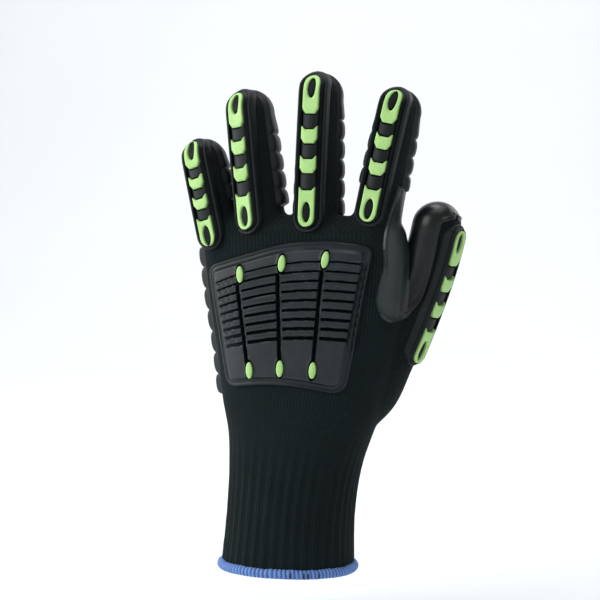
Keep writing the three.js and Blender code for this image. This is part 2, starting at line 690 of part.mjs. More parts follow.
// A finger's coat: ribs on the palm side below a thick cap round the tip.
function fingerCoat(finger) {
  const capFoot = finger.length - finger.cap;
  const points = [
    ...ribPoints(finger.ribs, finger.ribPitch, capFoot - finger.ribs * finger.ribPitch),
    [COAT_THICKNESS, capFoot],
    [CAP_THICKNESS, capFoot + CREST.from * finger.ribPitch],
  ];
  return digitCoat(finger, points, DIGIT_SIDES / 2, COAT_SIDE);
}

// The thumb's coat: smooth, and wrapped further round than a finger's.
function thumbCoat() {
  const foot = THUMB.length - THUMB_COAT;
  const bend = THUMB.length - digitRadius(THUMB, THUMB.length);
  const points = [foot, ...digitRows(THUMB, foot, bend)].map((row) => [COAT_THICKNESS, row]);
  return digitCoat(THUMB, points, DIGIT_SIDES / 2 + 2, 1)
    .subtract(palmSolid(SEAT_GAP, CUFF_LENGTH))
    .subtract(guardBlank(THUMB, SEAT_GAP));
}

// What the palm's coat and the web's leaf leave free for the thumb and its coat.
const thumbSpace = digitSolid(THUMB, 0, undefined, COAT_THICKNESS + 2 * SEAT_GAP);

// The leaf's outline run out through the back, grown by a clearance.
function leafSpace(clearance) {
  const place = (row) => new THREE.Vector2(row.x * PALM_WIDTH, CUFF_LENGTH + row.y * PALM_LENGTH);
  const middle = place(LEAF_MIDDLE);
  const points = LEAF_OUTLINE.map((row) => {
    const out = place(row).sub(middle);
    return out.setLength(out.length() + clearance).add(middle);
  });
  return throughBack(new THREE.Shape(points), clearance);
}

function webLeaf() {
  return shellForm(SEAT_GAP + COAT_THICKNESS, CUFF_LENGTH)
    .intersect(leafSpace(0))
    .subtract(seat)
    .subtract(thumbSpace)
    .subtract(guardBlank(FINGERS.at(-1), 2 * SEAT_GAP));
}

// The palm's coat, with its rows of blocks, round the palm side and the outer edge.
function palmCoat() {
  const heel = CUFF_LENGTH + COAT_HEEL;
  const crown = heel + BLOCK_ROWS * BLOCK_PITCH;
  const outer = [...ribPoints(BLOCK_ROWS, BLOCK_PITCH, heel), [COAT_THICKNESS, crown]];
  const inner = heightsBetween(heel, crown).map((height) => [2 * SEAT_GAP, height]).reverse();
  const [first, last] = [COAT_TURN.from, COAT_TURN.to].map((turn) => Math.round(turn * PALM_SIDES));
  const loops = Array.from({ length: last - first + 1 }, (_, i) => {
    const angle = ((first + i) * 2 * Math.PI) / PALM_SIDES;
    return [...outer, ...inner].map(([grow, height]) => palmPoint(angle, height, grow));
  });
  const outline = [...outer, ...inner].map(([grow, height]) => new THREE.Vector2(height, grow));
  const roots = FINGERS.map((finger) => digitSolid(finger, 0, finger.seam, SEAT_GAP));
  return sweptSolid(loops, outline).subtract(thumbSpace).subtract(union(roots));
}

const glove = new THREE.Group();
glove.add(meshOf("knit_cuff", knitCuff(), KNIT));
glove.add(meshOf("knit_palm", knitPalm(), KNIT));
glove.add(meshOf("cuff_hem", hem(), BLUE_YARN));
glove.add(meshOf("knuckle_plate", knucklePlate(), RUBBER));
STUDS.forEach((stud, i) => glove.add(meshOf(`knuckle_stud_${i + 1}`, studSolid(stud), LIME)));
for (const digit of DIGITS) {
  glove.add(meshOf(`knit_${digit.name}`, knitStall(digit), KNIT));
  glove.add(meshOf(`guard_${digit.name}`, guard(digit), RUBBER));
  for (const insert of INSERTS) {
    glove.add(meshOf(`insert_${digit.name}_${insert.name}`, insertSolid(digit, insert), LIME));
  }
}
for (const finger of FINGERS) glove.add(meshOf(`coat_${finger.name}`, fingerCoat(finger), COATING));
glove.add(meshOf("coat_thumb", thumbCoat(), COATING));
glove.add(meshOf("coat_palm", palmCoat(), COATING));
glove.add(meshOf("coat_web", webLeaf(), COATING));

export default glove;
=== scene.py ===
"""The looks of a left-hand anti-vibration work glove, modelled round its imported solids.

Sizes here are millimetres in the row frame, as in the part's own source, and every piece is turned to metres
when its points are placed. The back of the glove faces -Y, its thumb points to +X and its fingers point up.
"""
import logging
import math
from dataclasses import dataclass
from enum import Enum
from typing import Callable, Sequence

import bpy
import numpy as np
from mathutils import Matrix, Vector
from mathutils.bvhtree import BVHTree
from mathutils.kdtree import KDTree


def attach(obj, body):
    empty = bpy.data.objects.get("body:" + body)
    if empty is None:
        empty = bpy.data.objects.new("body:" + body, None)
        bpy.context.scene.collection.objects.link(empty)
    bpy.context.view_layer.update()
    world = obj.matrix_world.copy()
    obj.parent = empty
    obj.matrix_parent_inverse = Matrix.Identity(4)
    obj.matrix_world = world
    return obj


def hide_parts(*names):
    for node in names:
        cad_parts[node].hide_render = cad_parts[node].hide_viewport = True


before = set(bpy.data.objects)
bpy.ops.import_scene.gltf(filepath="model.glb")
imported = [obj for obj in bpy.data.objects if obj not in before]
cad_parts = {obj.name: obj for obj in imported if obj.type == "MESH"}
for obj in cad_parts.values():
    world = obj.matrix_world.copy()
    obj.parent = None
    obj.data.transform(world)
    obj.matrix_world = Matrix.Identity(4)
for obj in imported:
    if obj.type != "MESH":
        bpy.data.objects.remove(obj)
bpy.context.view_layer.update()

LOG = logging.getLogger("glove")
MM = 0.001
Points = np.ndarray
Place = Callable[..., Points]
Tree = bpy.types.NodeTree
Socket = bpy.types.NodeSocket


class Slot(Enum):
    """The record's material slots."""

    KNIT = "knit"
    HEM = "hem_yarn"
    MOULDED = "moulded_rubber"
    LIME = "lime_insert"
    COATING = "coating"


class End(Enum):
    """The form of an insert's end."""

    ROUND = "round"
    CUT = "cut"
    HORNED = "horned"


def smooth_step(value: Points, low: float, high: float) -> Points:
    """An even rise from 0 at low to 1 at high."""
    share = np.clip((np.asarray(value, float) - low) / (high - low), 0, 1)
    return share * share * (3 - 2 * share)


def smooth_table(at: Points, knots: Sequence[float], values: Sequence[float]) -> Points:
    """A smooth curve through a table's rows, held level past both ends.

    Args:
        at: where the curve is read.
        knots: the rows' places, rising.
        values: the rows' values.

    Returns:
        The curve's values at those places.
    """
    places, heights = np.asarray(knots, float), np.asarray(values, float)
    slopes = np.gradient(heights, places)
    inside = np.clip(at, places[0], places[-1])
    row = np.clip(np.searchsorted(places, inside) - 1, 0, len(places) - 2)
    span = places[row + 1] - places[row]
    share = (inside - places[row]) / span
    square, cube = share**2, share**3
    start = (2 * cube - 3 * square + 1) * heights[row] + (cube - 2 * square + share) * span * slopes[row]
    end = (3 * square - 2 * cube) * heights[row + 1] + (cube - square) * span * slopes[row + 1]
    return start + end


def distance_to(places: Points, line: Points) -> Points:
    """How far each flat place lies from the nearest point of a line.

    Args:
        places: rows of two coordinates.
        line: the line's points, close together.

    Returns:
        A distance for each place.
    """
    return np.concatenate([
        np.linalg.norm(part[:, None] - line[None], axis=2).min(axis=1) for part in np.array_split(places, 40)
    ])


def read_rings(rings: Points, share: Points) -> tuple[Points, Points]:
    """Both columns of a table of rings, read at shares of its length.

    Args:
        rings: rows of two numbers.
        share: where the table is read, from 0 to 1.

    Returns:
        The two columns' values.
    """
    step, knots = share * (len(rings) - 1), np.arange(len(rings))
    return np.interp(step, knots, rings[:, 0]), np.interp(step, knots, rings[:, 1])


@dataclass(frozen=True)
class Trunk:
    """The form of the cuff and palm: rounded sections from the hem up."""

    cuff_length: float = 75
    cuff_width: float = 72
    cuff_depth: float = 56
    palm_length: float = 115
    palm_width: float = 107
    palm_depth: float = 34
    # up, across, back, width, depth and squareness, in shares of the sizes above
    cuff_rows: tuple = (
        (0, -0.005, 0, 1.015, 1, 2.1),
        (0.42, 0.024, -0.008, 0.972, 0.955, 2.1),
        (0.75, 0.062, -0.017, 1.005, 0.91, 2.15),
    )
    palm_rows: tuple = (
        (0, 0.07, -0.047, 0.74, 1.41, 2.2),
        (0.13, 0.087, -0.064, 0.823, 1.32, 2.3),
        (0.365, 0.106, -0.094, 0.915, 1.176, 2.5),
        (0.72, 0.104, -0.125, 1.018, 0.97, 2.6),
        (0.87, 0.096, -0.125, 1.032, 0.82, 2.6),
        (0.965, 0.082, -0.125, 0.99, 0.62, 2.6),
        (1, 0.075, -0.125, 0.88, 0.32, 2.6),
    )

    @property
    def top(self) -> float:
        """Height of the palm's end, between the fingers."""
        return self.cuff_length + self.palm_length

    def rows(self) -> Points:
        """All sections as rows of height, x, y, half width, half depth and squareness."""
        cuff = [
            (u * self.cuff_length, a * self.cuff_width, b * self.cuff_depth, w * self.cuff_width / 2,
             d * self.cuff_depth / 2, q)
            for u, a, b, w, d, q in self.cuff_rows
        ]
        palm = [
            (self.cuff_length + u * self.palm_length, a * self.palm_width, b * self.palm_depth,
             w * self.palm_width / 2, d * self.palm_depth / 2, q)
            for u, a, b, w, d, q in self.palm_rows
        ]
        return np.array(cuff + palm)

    def section(self, height: Points) -> tuple[Points, ...]:
        """x, y, half width, half depth and squareness at each height."""
        rows = self.rows()
        return tuple(smooth_table(height, rows[:, 0], rows[:, column]) for column in range(1, 6))

    def point(self, angle: Points, height: Points, grow: Points) -> Points:
        """Points on the surface.

        Args:
            angle: 0 on the back, turning to +X.
            height: over the cuff's edge.
            grow: how far out of the surface.

        Returns:
            The points in the row frame.
        """
        x, y, half_width, half_depth, square = self.section(height)
        power = 2 / square
        across = np.sign(np.sin(angle)) * np.abs(np.sin(angle)) ** power
        out = np.sign(np.cos(angle)) * np.abs(np.cos(angle)) ** power
        height = np.broadcast_to(height, across.shape)
        return np.stack([x + (half_width + grow) * across, y - (half_depth + grow) * out, height], -1)

    def back(self, x: Points, height: Points, grow: Points) -> Points:
        """Where the back lies.

        Args:
            x: the places' x.
            height: the places' height.
            grow: how far out of the surface.

        Returns:
            The back's Y at each place.
        """
        middle, y, half_width, half_depth, square = self.section(height)
        share = np.clip(np.abs(x - middle) / (half_width + grow), 0, 0.999)
        return y - (half_depth + grow) * (1 - share**square) ** (1 / square)


@dataclass(frozen=True)
class Digit:
    """One finger or thumb: a round form along a curve that leans and bends evenly.

    Attributes:
        name: the digit.
        length: from its root inside the palm to the middle of its tip's end.
        width: its shell's width.
        guard: its guard's length.
        over: how far the guard reaches past the length.
        cap: how far the coat's thick cap reaches down from the length.
        ribs: how many ribs its coat has below the cap.
        pitch: from one rib to the next.
        root: where its axis starts, in shares of the palm's width, depth and length.
        lean: degrees that it leans to +X, at its root and at its tip.
        curl: degrees that it bends to the palm side, at its root and at its tip.
        roll: degrees that its back is turned to +X.
        girth: rows of a share of the length and the width there as a share of the width.
    """

    name: str
    length: float
    width: float
    guard: float
    over: float
    cap: float
    ribs: int
    pitch: float
    root: tuple[float, float, float]
    lean: tuple[float, float]
    curl: tuple[float, float]
    roll: float
    girth: tuple[tuple[float, float], ...]

    def direction(self, along: Points) -> Points:
        """Which way the axis runs at each distance from the root."""
        share = np.clip(np.asarray(along, float) / self.length, 0, 1)
        lean = np.radians(self.lean[0] + (self.lean[1] - self.lean[0]) * share)
        curl = np.radians(self.curl[0] + (self.curl[1] - self.curl[0]) * share)
        return np.stack([np.sin(lean) * np.cos(curl), np.sin(curl), np.cos(lean) * np.cos(curl)], -1)

    def centre(self, along: Points) -> Points:
        """Points of the axis.

        Args:
            along: distances from the root.

        Returns:
            The points in the row frame, on straight lines past both ends.
        """
        steps = 64
        trunk = Trunk()
        start = np.array([
            self.root[0] * trunk.palm_width,
            self.root[1] * trunk.palm_depth,
            trunk.cuff_length + self.root[2] * trunk.palm_length,
        ])
        moves = self.direction((np.arange(steps) + 0.5) / steps * self.length) * self.length / steps
        line = np.vstack([start, start + np.cumsum(moves, axis=0)])
        knots = np.linspace(0, self.length, steps + 1)
        inside = np.clip(along, 0, self.length)
        base = np.stack([np.interp(inside, knots, line[:, axis]) for axis in range(3)], -1)
        return base + (along - inside)[..., None] * self.direction(inside)

    def radius(self, along: Points) -> Points:
        """The radius before the tip rounds off."""
        places = [row[0] * self.length for row in self.girth]
        return smooth_table(along, places, [row[1] for row in self.girth]) * self.width / 2

    @property
    def tip_radius(self) -> float:
        """Radius of the round tip."""
        return float(self.radius(np.array(self.length)))

    @property
    def bend(self) -> float:
        """Where the tip begins to round off."""
        return self.length - self.tip_radius

    @property
    def reach(self) -> float:
        """Distance along the surface from the root to the tip's end."""
        return self.bend + self.tip_radius * math.pi / 2

    def place(self, across: Points, along: Points, out: Points) -> Points:
        """Points beside the digit's axis.

        Args:
            across: to the digit's side.
            along: from the root.
            out: out of the axis, towards the digit's back.

        Returns:
            The points in the row frame.
        """
        tangent = self.direction(along)
        roll = math.radians(self.roll)
        back = np.array([math.sin(roll), -math.cos(roll), 0.0])
        back = back - (tangent @ back)[..., None] * tangent
        back /= np.linalg.norm(back, axis=-1, keepdims=True)
        side = np.cross(tangent, back)
        return self.centre(along) + across[..., None] * side + out[..., None] * back

    def surface(self, angle: Points, distance: Points, grow: Points) -> Points:
        """Points on the skin, grown by some millimetres.

        Args:
            angle: 0 on the back, turning to the digit's side.
            distance: along the surface from the root, over the tip to its end.
            grow: how far out of the skin.

        Returns:
            The points in the row frame.
        """
        rise = np.clip((distance - self.bend) / self.tip_radius, 0, math.pi / 2)
        before = np.minimum(distance, self.bend)
        radius = self.radius(before) + grow
        out = radius * np.cos(rise)
        along = before + radius * np.sin(rise)
        return self.place(out * np.sin(angle), along, out * np.cos(angle))

    def back_reach(self, along: Points) -> Points:
        """How far the back of the shell is from the axis, easing down over the tip.

        Args:
            along: distances from the root.

        Returns:
            A distance for each, at least the palm's back where the digit's root lies in the palm.
        """
        radius = self.radius(along)
        past = np.clip((along - self.length + radius) / radius, 0, 1.2)
        reach = radius * (1 - 0.4 * past * past)
        if self.name == "thumb":
            return reach
        origin = self.centre(along)
        trunk = Trunk()
        under = origin[..., 1] - trunk.back(origin[..., 0], origin[..., 2], 0)
        return np.where(origin[..., 2] < trunk.top, np.maximum(reach, under), reach)


FINGER_GIRTH = ((0, 1.14), (0.36, 1.06), (0.88, 0.93))
THUMB_GIRTH = ((0, 1.13), (0.16, 1.42), (0.32, 1.22), (0.52, 1.04), (0.9, 1))
FINGERS = (
    Digit("little", 62.5, 20, 60, 2.6, 16, 2, 8.8,
          (-0.306, -0.12, 0.8), (-14.5, -16.5), (2, 10), -13, FINGER_GIRTH),
    Digit("ring", 84.5, 22.4, 77, 2.6, 22.8, 4, 9.7,
          (-0.1, -0.12, 0.826), (-7.6, -9.2), (2, 9), -17, FINGER_GIRTH),
    Digit("middle", 92.5, 22, 84, 2.6, 22.2, 5, 10.3,
          (0.158, -0.12, 0.826), (0.4, 0.1), (2, 8), -4, FINGER_GIRTH),
    Digit("index", 85.5, 22, 73.5, 2.6, 22, 3, 9.6,
          (0.43, -0.12, 0.826), (10, 10.8), (2, 9), -3, FINGER_GIRTH),
)
THUMB = Digit("thumb", 127, 24, 75, -8, 0, 0, 1, (0.29, 0.06, 0.06), (38, 10), (7, -4), 72, THUMB_GIRTH)
DIGITS = (*FINGERS, THUMB)
TRUNK = Trunk()


def colour(code: str) -> tuple[float, float, float, float]:
    """An sRGB hex colour as the linear one that a shader takes.

    Args:
        code: six hex digits.

    Returns:
        Red, green, blue and a full alpha.
    """
    parts = [int(code[i : i + 2], 16) / 255 for i in (0, 2, 4)]
    linear = [part / 12.92 if part <= 0.04045 else ((part + 0.055) / 1.055) ** 2.4 for part in parts]
    return (*linear, 1.0)


def add_node(tree: Tree, kind: str, values: dict | None = None, links: dict | None = None,
             **settings: object) -> bpy.types.Node:
    """Adds one node with its settings, its fixed inputs and its links.

    Args:
        tree: the node tree.
        kind: the node's type name without its prefix.
        values: input name or index to its fixed value.
        links: input name or index to the output socket that feeds it.
        settings: the node's own properties.

    Returns:
        The new node.
    """
    node = tree.nodes.new("ShaderNode" + kind)
    for name, value in settings.items():
        setattr(node, name, value)
    for key, value in (values or {}).items():
        node.inputs[key].default_value = value
    for key, output in (links or {}).items():
        tree.links.new(output, node.inputs[key])
    return node


def calculate(tree: Tree, operation: str, *values: float | Socket) -> Socket:
    """A math node's output.

    Args:
        tree: the node tree.
        operation: the node's operation.
        values: its inputs in order, each a number or another node's output.

    Returns:
        The output.
    """
    numbers = {place: value for place, value in enumerate(values) if isinstance(value, (int, float))}
    links = {place: value for place, value in enumerate(values) if place not in numbers}
    return add_node(tree, "Math", numbers, links, operation=operation).outputs[0]


def remap(tree: Tree, value: Socket, low: float, high: float, start: float = 0.0, end: float = 1.0) -> Socket:
    """A value that runs from low to high, as one that runs from start to end.

    Args:
        tree: the node tree.
        value: the value.
        low: its lowest.
        high: its highest.
        start: what low becomes.
        end: what high becomes.

    Returns:
        The new value's output.
    """
    return add_node(tree, "MapRange", {1: low, 2: high, 3: start, 4: end}, {0: value}).outputs[0]


def blend(tree: Tree, share: Socket, low: str | Socket, high: str) -> Socket:
    """A colour between two.

    Args:
        tree: the node tree.
        share: how much of the second colour is taken.
        low: the first colour, as hex digits or another node's output.
        high: the second colour, as hex digits.

    Returns:
        The colour's output.
    """
    values, links = {7: colour(high)}, {0: share}
    if isinstance(low, str):
        values[6] = colour(low)
    else:
        links[6] = low
    return add_node(tree, "Mix", values, links, data_type="RGBA").outputs[2]


def noise(tree: Tree, scale: float, detail: float = 2.0) -> Socket:
    """A noise in the object's own space, with its scale for each metre."""
    place = add_node(tree, "TexCoord").outputs["Object"]
    return add_node(tree, "TexNoise", {"Scale": scale, "Detail": detail}, {"Vector": place}).outputs[0]


def raised(tree: Tree, height: Socket, strength: float, depth: float) -> Socket:
    """A bump from a height, some millimetres deep."""
    values = {"Strength": strength, "Distance": depth * MM}
    return add_node(tree, "Bump", values, {"Height": height}).outputs[0]


def attribute(tree: Tree, name: str, output: str = "Fac") -> Socket:
    """The piece's own point attribute of that name."""
    return add_node(tree, "Attribute", attribute_name=name).outputs[output]


def new_material(name: str) -> tuple[bpy.types.Material, Tree, bpy.types.Node]:
    """An empty material with its output.

    Args:
        name: the material's name.

    Returns:
        The material, its node tree and its surface shader.
    """
    material = bpy.data.materials.new(name)
    material.use_nodes = True
    tree = material.node_tree
    tree.nodes.clear()
    shader = add_node(tree, "BsdfPrincipled")
    add_node(tree, "OutputMaterial", links={"Surface": shader.outputs[0]})
    return material, tree, shader


def feed(tree: Tree, shader: bpy.types.Node, inputs: dict[str, float | Socket]) -> None:
    """Sets a shader's inputs.

    Args:
        tree: the node tree.
        shader: the shader.
        inputs: input name to its number or to the output that feeds it.
    """
    for name, value in inputs.items():
        if isinstance(value, (int, float)):
            shader.inputs[name].default_value = value
        else:
            tree.links.new(value, shader.inputs[name])


@dataclass(frozen=True)
class KnitYarn:
    """Fine polyamide knit, machine knitted: matt and nearly black, with soft loops in upright wales.

    A real wale is 1 mm wide. It is drawn wider so that it shows.
    """

    name: str = "polyamide_knit"
    dark: str = "060a0b"
    light: str = "182325"
    wale: float = 1.5
    course: float = 1.25
    slant: float = 2.6
    relief: float = 0.35
    roughness: float = 0.92
    sheen: float = 0.02
    specular: float = 0.12

    def material(self) -> bpy.types.Material:
        """The knit, whose loops follow the piece's own weave attribute, in millimetres.

        Returns:
            The material.
        """
        material, tree, shader = new_material(self.name)
        parts = add_node(tree, "SeparateXYZ", links={0: attribute(tree, "weave", "Vector")})
        turn = calculate(tree, "MULTIPLY", parts.outputs["X"], math.pi / self.wale)
        wale = calculate(tree, "ABSOLUTE", calculate(tree, "SINE", turn))
        climb = calculate(tree, "MULTIPLY", parts.outputs["Y"], 2 * math.pi / self.course)
        row = calculate(tree, "SINE", calculate(tree, "MULTIPLY_ADD", wale, self.slant, climb))
        loops = calculate(tree, "MULTIPLY_ADD", row, 0.35, wale)
        tone = calculate(tree, "MULTIPLY_ADD", noise(tree, 55, 3), 0.9, loops)
        fuzz = calculate(tree, "MULTIPLY_ADD", noise(tree, 900), 0.7, loops)
        feed(tree, shader, {
            "Base Color": blend(tree, remap(tree, tone, 0.1, 1.9), self.dark, self.light),
            "Normal": raised(tree, fuzz, 0.55, self.relief),
            "Roughness": self.roughness,
            "Sheen Weight": self.sheen,
            "Sheen Roughness": 0.6,
            "Specular IOR Level": self.specular,
        })
        return material


@dataclass(frozen=True)
class HemYarn:
    """Overlocked polyester yarn: blue loops side by side, soft and a little shiny."""

    name: str = "overlock_yarn"
    dark: str = "213a6b"
    light: str = "6690d6"
    # near-black painted shade for four gaps in the stitching
    gap: str = "070a10"
    relief: float = 0.2
    roughness: float = 0.75
    sheen: float = 0.12

    def material(self) -> bpy.types.Material:
        """The yarn, with painted shade in the valleys between its loops and painted near-black shade at four
        gaps in its stitching, by the piece's attributes.

        Returns:
            The material.
        """
        material, tree, shader = new_material(self.name)
        # Painted shade: the yarn darkens towards the valleys between its loops.
        tone = calculate(tree, "MULTIPLY_ADD", noise(tree, 260, 3), 0.5, attribute(tree, "loop"))
        yarn = blend(tree, remap(tree, tone, 0.25, 1.15), self.dark, self.light)
        feed(tree, shader, {
            # Painted near-black shade at four gaps in the stitching.
            "Base Color": blend(tree, attribute(tree, "gap_shade"), yarn, self.gap),
            "Normal": raised(tree, noise(tree, 2600), 0.4, self.relief),
            "Roughness": self.roughness,
            "Sheen Weight": self.sheen,
        })
        return material


@dataclass(frozen=True)
class Rubber:
    """A rubber finish.

    Attributes:
        name: the material's name.
        dark: its darker tone.
        light: its lighter tone.
        grain: the grain's size in millimetres.
        relief: the grain's depth in millimetres.
        roughness: its middle roughness.
        rough_spread: how far the roughness goes to each side.
        cloud: the size in millimetres of the soft clouds of tone.
        specular: how much it mirrors.
        deep: the tone of the painted shade in its cuts and recesses.
    """

    name: str
    dark: str
    light: str
    grain: float
    relief: float
    roughness: float
    rough_spread: float
    cloud: float = 14.0
    specular: float = 0.5
    deep: str = "040607"

    def material(self) -> bpy.types.Material:
        """The rubber, with a soft cloud of tone, a fine grain and an uneven gloss, and with painted shade and
        a duller gloss in its cuts and recesses.

        Returns:
            The material.
        """
        material, tree, shader = new_material(self.name)
        cloud, grain = noise(tree, 1000 / self.cloud, 3), noise(tree, 1000 / self.grain)
        # Painted shade: where a point attribute marks cuts and recesses, the colour goes most of the way to
        # the dark tone and the gloss drops.
        sunk_shade = attribute(tree, "sunk_shade")
        tone = remap(tree, calculate(tree, "MULTIPLY_ADD", grain, 0.45, cloud), 0.45, 1)
        face = blend(tree, tone, self.dark, self.light)
        low, high = self.roughness - self.rough_spread, self.roughness + self.rough_spread
        feed(tree, shader, {
            "Base Color": blend(tree, calculate(tree, "MULTIPLY", sunk_shade, 0.85), face, self.deep),
            "Roughness": remap(tree, cloud, 0.3, 0.7, low, high),
            "Normal": raised(tree, grain, 0.5, self.relief),
            "Specular IOR Level": remap(tree, sunk_shade, 0, 1, self.specular, 0.04),
        })
        return material


# Thermoplastic rubber from a satin mould, and the foamed coating that the palm side is dipped in.
PLATE_RUBBER = Rubber("moulded_rubber_grey", "0c1417", "162329", 0.5, 0.05, 0.42, 0.05, specular=0.48)
GUARD_RUBBER = Rubber("moulded_rubber_black", "0a1012", "151d20", 0.5, 0.05, 0.48, 0.05, specular=0.24)
LIME_RUBBER = Rubber("moulded_rubber_lime", "a0cf74", "b6e290", 0.8, 0.06, 0.5, 0.04)
FOAM_COATING = Rubber("foamed_coating", "0c1113", "171f21", 0.8, 0.2, 0.5, 0.08, specular=0.4)
THUMB_COATING = Rubber("smooth_coating_black", "060a0a", "0d1313", 0.9, 0.12, 0.3, 0.08, specular=0.42)
LEAF_COATING = Rubber("smooth_coating_grey", "1b2325", "273032", 0.9, 0.1, 0.36, 0.08, specular=0.5)


def start_fresh() -> None:
    """Leaves edit mode and deselects everything."""
    active = bpy.context.view_layer.objects.active
    if active and active.mode != "OBJECT":
        bpy.ops.object.mode_set(mode="OBJECT")
    bpy.ops.object.select_all(action="DESELECT")


def choose(piece: bpy.types.Object) -> None:
    """Makes one piece the selected and active one."""
    start_fresh()
    piece.select_set(True)
    bpy.context.view_layer.objects.active = piece


def coordinates(piece: bpy.types.Object) -> Points:
    """A piece's vertices as an array."""
    flat = np.empty(3 * len(piece.data.vertices))
    piece.data.vertices.foreach_get("co", flat)
    return flat.reshape(-1, 3)


def put(piece: bpy.types.Object, points: Points) -> None:
    """Places a piece's vertices at points in millimetres."""
    piece.data.vertices.foreach_set("co", (points * MM).ravel())
    piece.data.update()


def apply_modifier(piece: bpy.types.Object, kind: str, **settings: object) -> None:
    """Adds a modifier and applies it.

    Args:
        piece: the piece.
        kind: the modifier's type.
        settings: its settings.
    """
    choose(piece)
    modifier = piece.modifiers.new(kind.lower(), kind)
    for name, value in settings.items():
        setattr(modifier, name, value)
    bpy.ops.object.modifier_apply(modifier=modifier.name)


def tidy_mesh(piece: bpy.types.Object, smooth_angle: float = 40) -> None:
    """Merges doubles, turns faces outwards and shades the piece.

    Args:
        piece: the piece.
        smooth_angle: up to how many degrees an edge is shaded smooth.
    """
    choose(piece)
    bpy.ops.object.mode_set(mode="EDIT")
    bpy.ops.mesh.select_all(action="SELECT")
    bpy.ops.mesh.remove_doubles(threshold=2e-6)
    bpy.ops.mesh.dissolve_degenerate(threshold=1e-6)
    bpy.ops.mesh.select_all(action="SELECT")
    bpy.ops.mesh.normals_make_consistent(inside=False)
    bpy.ops.object.mode_set(mode="OBJECT")
    bpy.ops.object.shade_smooth_by_angle(angle=math.radians(smooth_angle))


def unit_grid(name: str, across: int, along: int) -> bpy.types.Object:
    """A flat grid over the unit square, to be shaped.

    Args:
        name: the piece's name.
        across: faces along x.
        along: faces along y.

    Returns:
        The new piece.
    """
    start_fresh()
    bpy.ops.mesh.primitive_grid_add(x_subdivisions=across, y_subdivisions=along, size=1, location=(0, 0, 0))
    grid = bpy.context.object
    grid.name = grid.data.name = name
    return grid


def skin(name: str, around: int, rows: int, place: Place) -> bpy.types.Object:
    """A closed skin from a grid whose borders meet.

    Args:
        name: the piece's name.
        around: faces round the skin.
        rows: faces from one end to the other.
        place: gives points in millimetres from two arrays of shares.

    Returns:
        The new piece.
    """
    piece = unit_grid(name, around, rows)
    shares = coordinates(piece)[:, :2] + 0.5
    put(piece, place(shares[:, 0], shares[:, 1]))
    tidy_mesh(piece)
    return piece


def extrude(piece: bpy.types.Object) -> None:
    """Extrudes a flat or bent piece into two sides, the upper one a metre higher until it is placed."""
    choose(piece)
    bpy.ops.object.mode_set(mode="EDIT")
    bpy.ops.mesh.select_all(action="SELECT")
    bpy.ops.mesh.extrude_region_move(TRANSFORM_OT_translate={"value": (0, 0, 1)})
    bpy.ops.object.mode_set(mode="OBJECT")


def slab(name: str, across: int, along: int, place: Place, tidy: bool = True) -> bpy.types.Object:
    """A closed slab: a grid extruded into an upper and a lower side.

    Args:
        name: the piece's name.
        across: faces across the slab.
        along: faces along it.
        place: gives points in millimetres from two arrays of shares and a mask of the upper side.
        tidy: whether its mesh is tidied at once.

    Returns:
        The new piece.
    """
    piece = unit_grid(name, across, along)
    extrude(piece)
    raw = coordinates(piece)
    put(piece, place(raw[:, 0] + 0.5, raw[:, 1] + 0.5, raw[:, 2] > 0.5))
    if tidy:
        tidy_mesh(piece)
    return piece


def sheet(name: str, across: int, along: int, place: Place) -> bpy.types.Object:
    """A closed slab whose sides may meet: its lower side is placed and merged before it is extruded.

    Args:
        name: the piece's name.
        across: faces across the sheet.
        along: faces along it.
        place: gives points in millimetres from two arrays of shares and a mask of the upper side.

    Returns:
        The new piece.
    """
    piece = unit_grid(name, across, along)
    shares = coordinates(piece)[:, :2] + 0.5
    lower = place(shares[:, 0], shares[:, 1], np.zeros(len(shares), bool))
    put(piece, lower)
    tidy_mesh(piece)
    extrude(piece)
    tree = KDTree(len(lower))
    for index, point in enumerate(lower):
        tree.insert(point, index)
    tree.balance()
    raw, metre = coordinates(piece) / MM, 1 / MM
    upper = raw[:, 2] > 0.7 * metre
    raw[:, 2] -= metre * upper
    nearest = np.array([tree.find(point)[1] for point in raw])
    put(piece, place(shares[nearest, 0], shares[nearest, 1], upper))
    tidy_mesh(piece)
    return piece


def point_attribute(piece: bpy.types.Object, name: str, values: Points) -> None:
    """Gives each vertex a value that the piece's material reads.

    Args:
        piece: the piece.
        name: the attribute's name.
        values: a number or a vector for each vertex.
    """
    if values.ndim == 1:
        piece.data.attributes.new(name, "FLOAT", "POINT").data.foreach_set("value", values)
    else:
        piece.data.attributes.new(name, "FLOAT_VECTOR", "POINT").data.foreach_set("vector", values.ravel())


def dress(piece: bpy.types.Object, material: bpy.types.Material, slot: Slot, *nodes: str) -> bpy.types.Object:
    """Gives a piece its material and its body, and hides the CAD nodes that it stands for.

    Args:
        piece: the finished piece.
        material: its material.
        slot: the record's slot; not used.
        nodes: the CAD nodes that it stands for.

    Returns:
        The same piece.
    """
    piece.data.materials.clear()
    piece.data.materials.append(material)
    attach(piece, "root")
    if nodes:
        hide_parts(*nodes)
    LOG.info("%s: %d faces", piece.name, len(piece.data.polygons))
    return piece


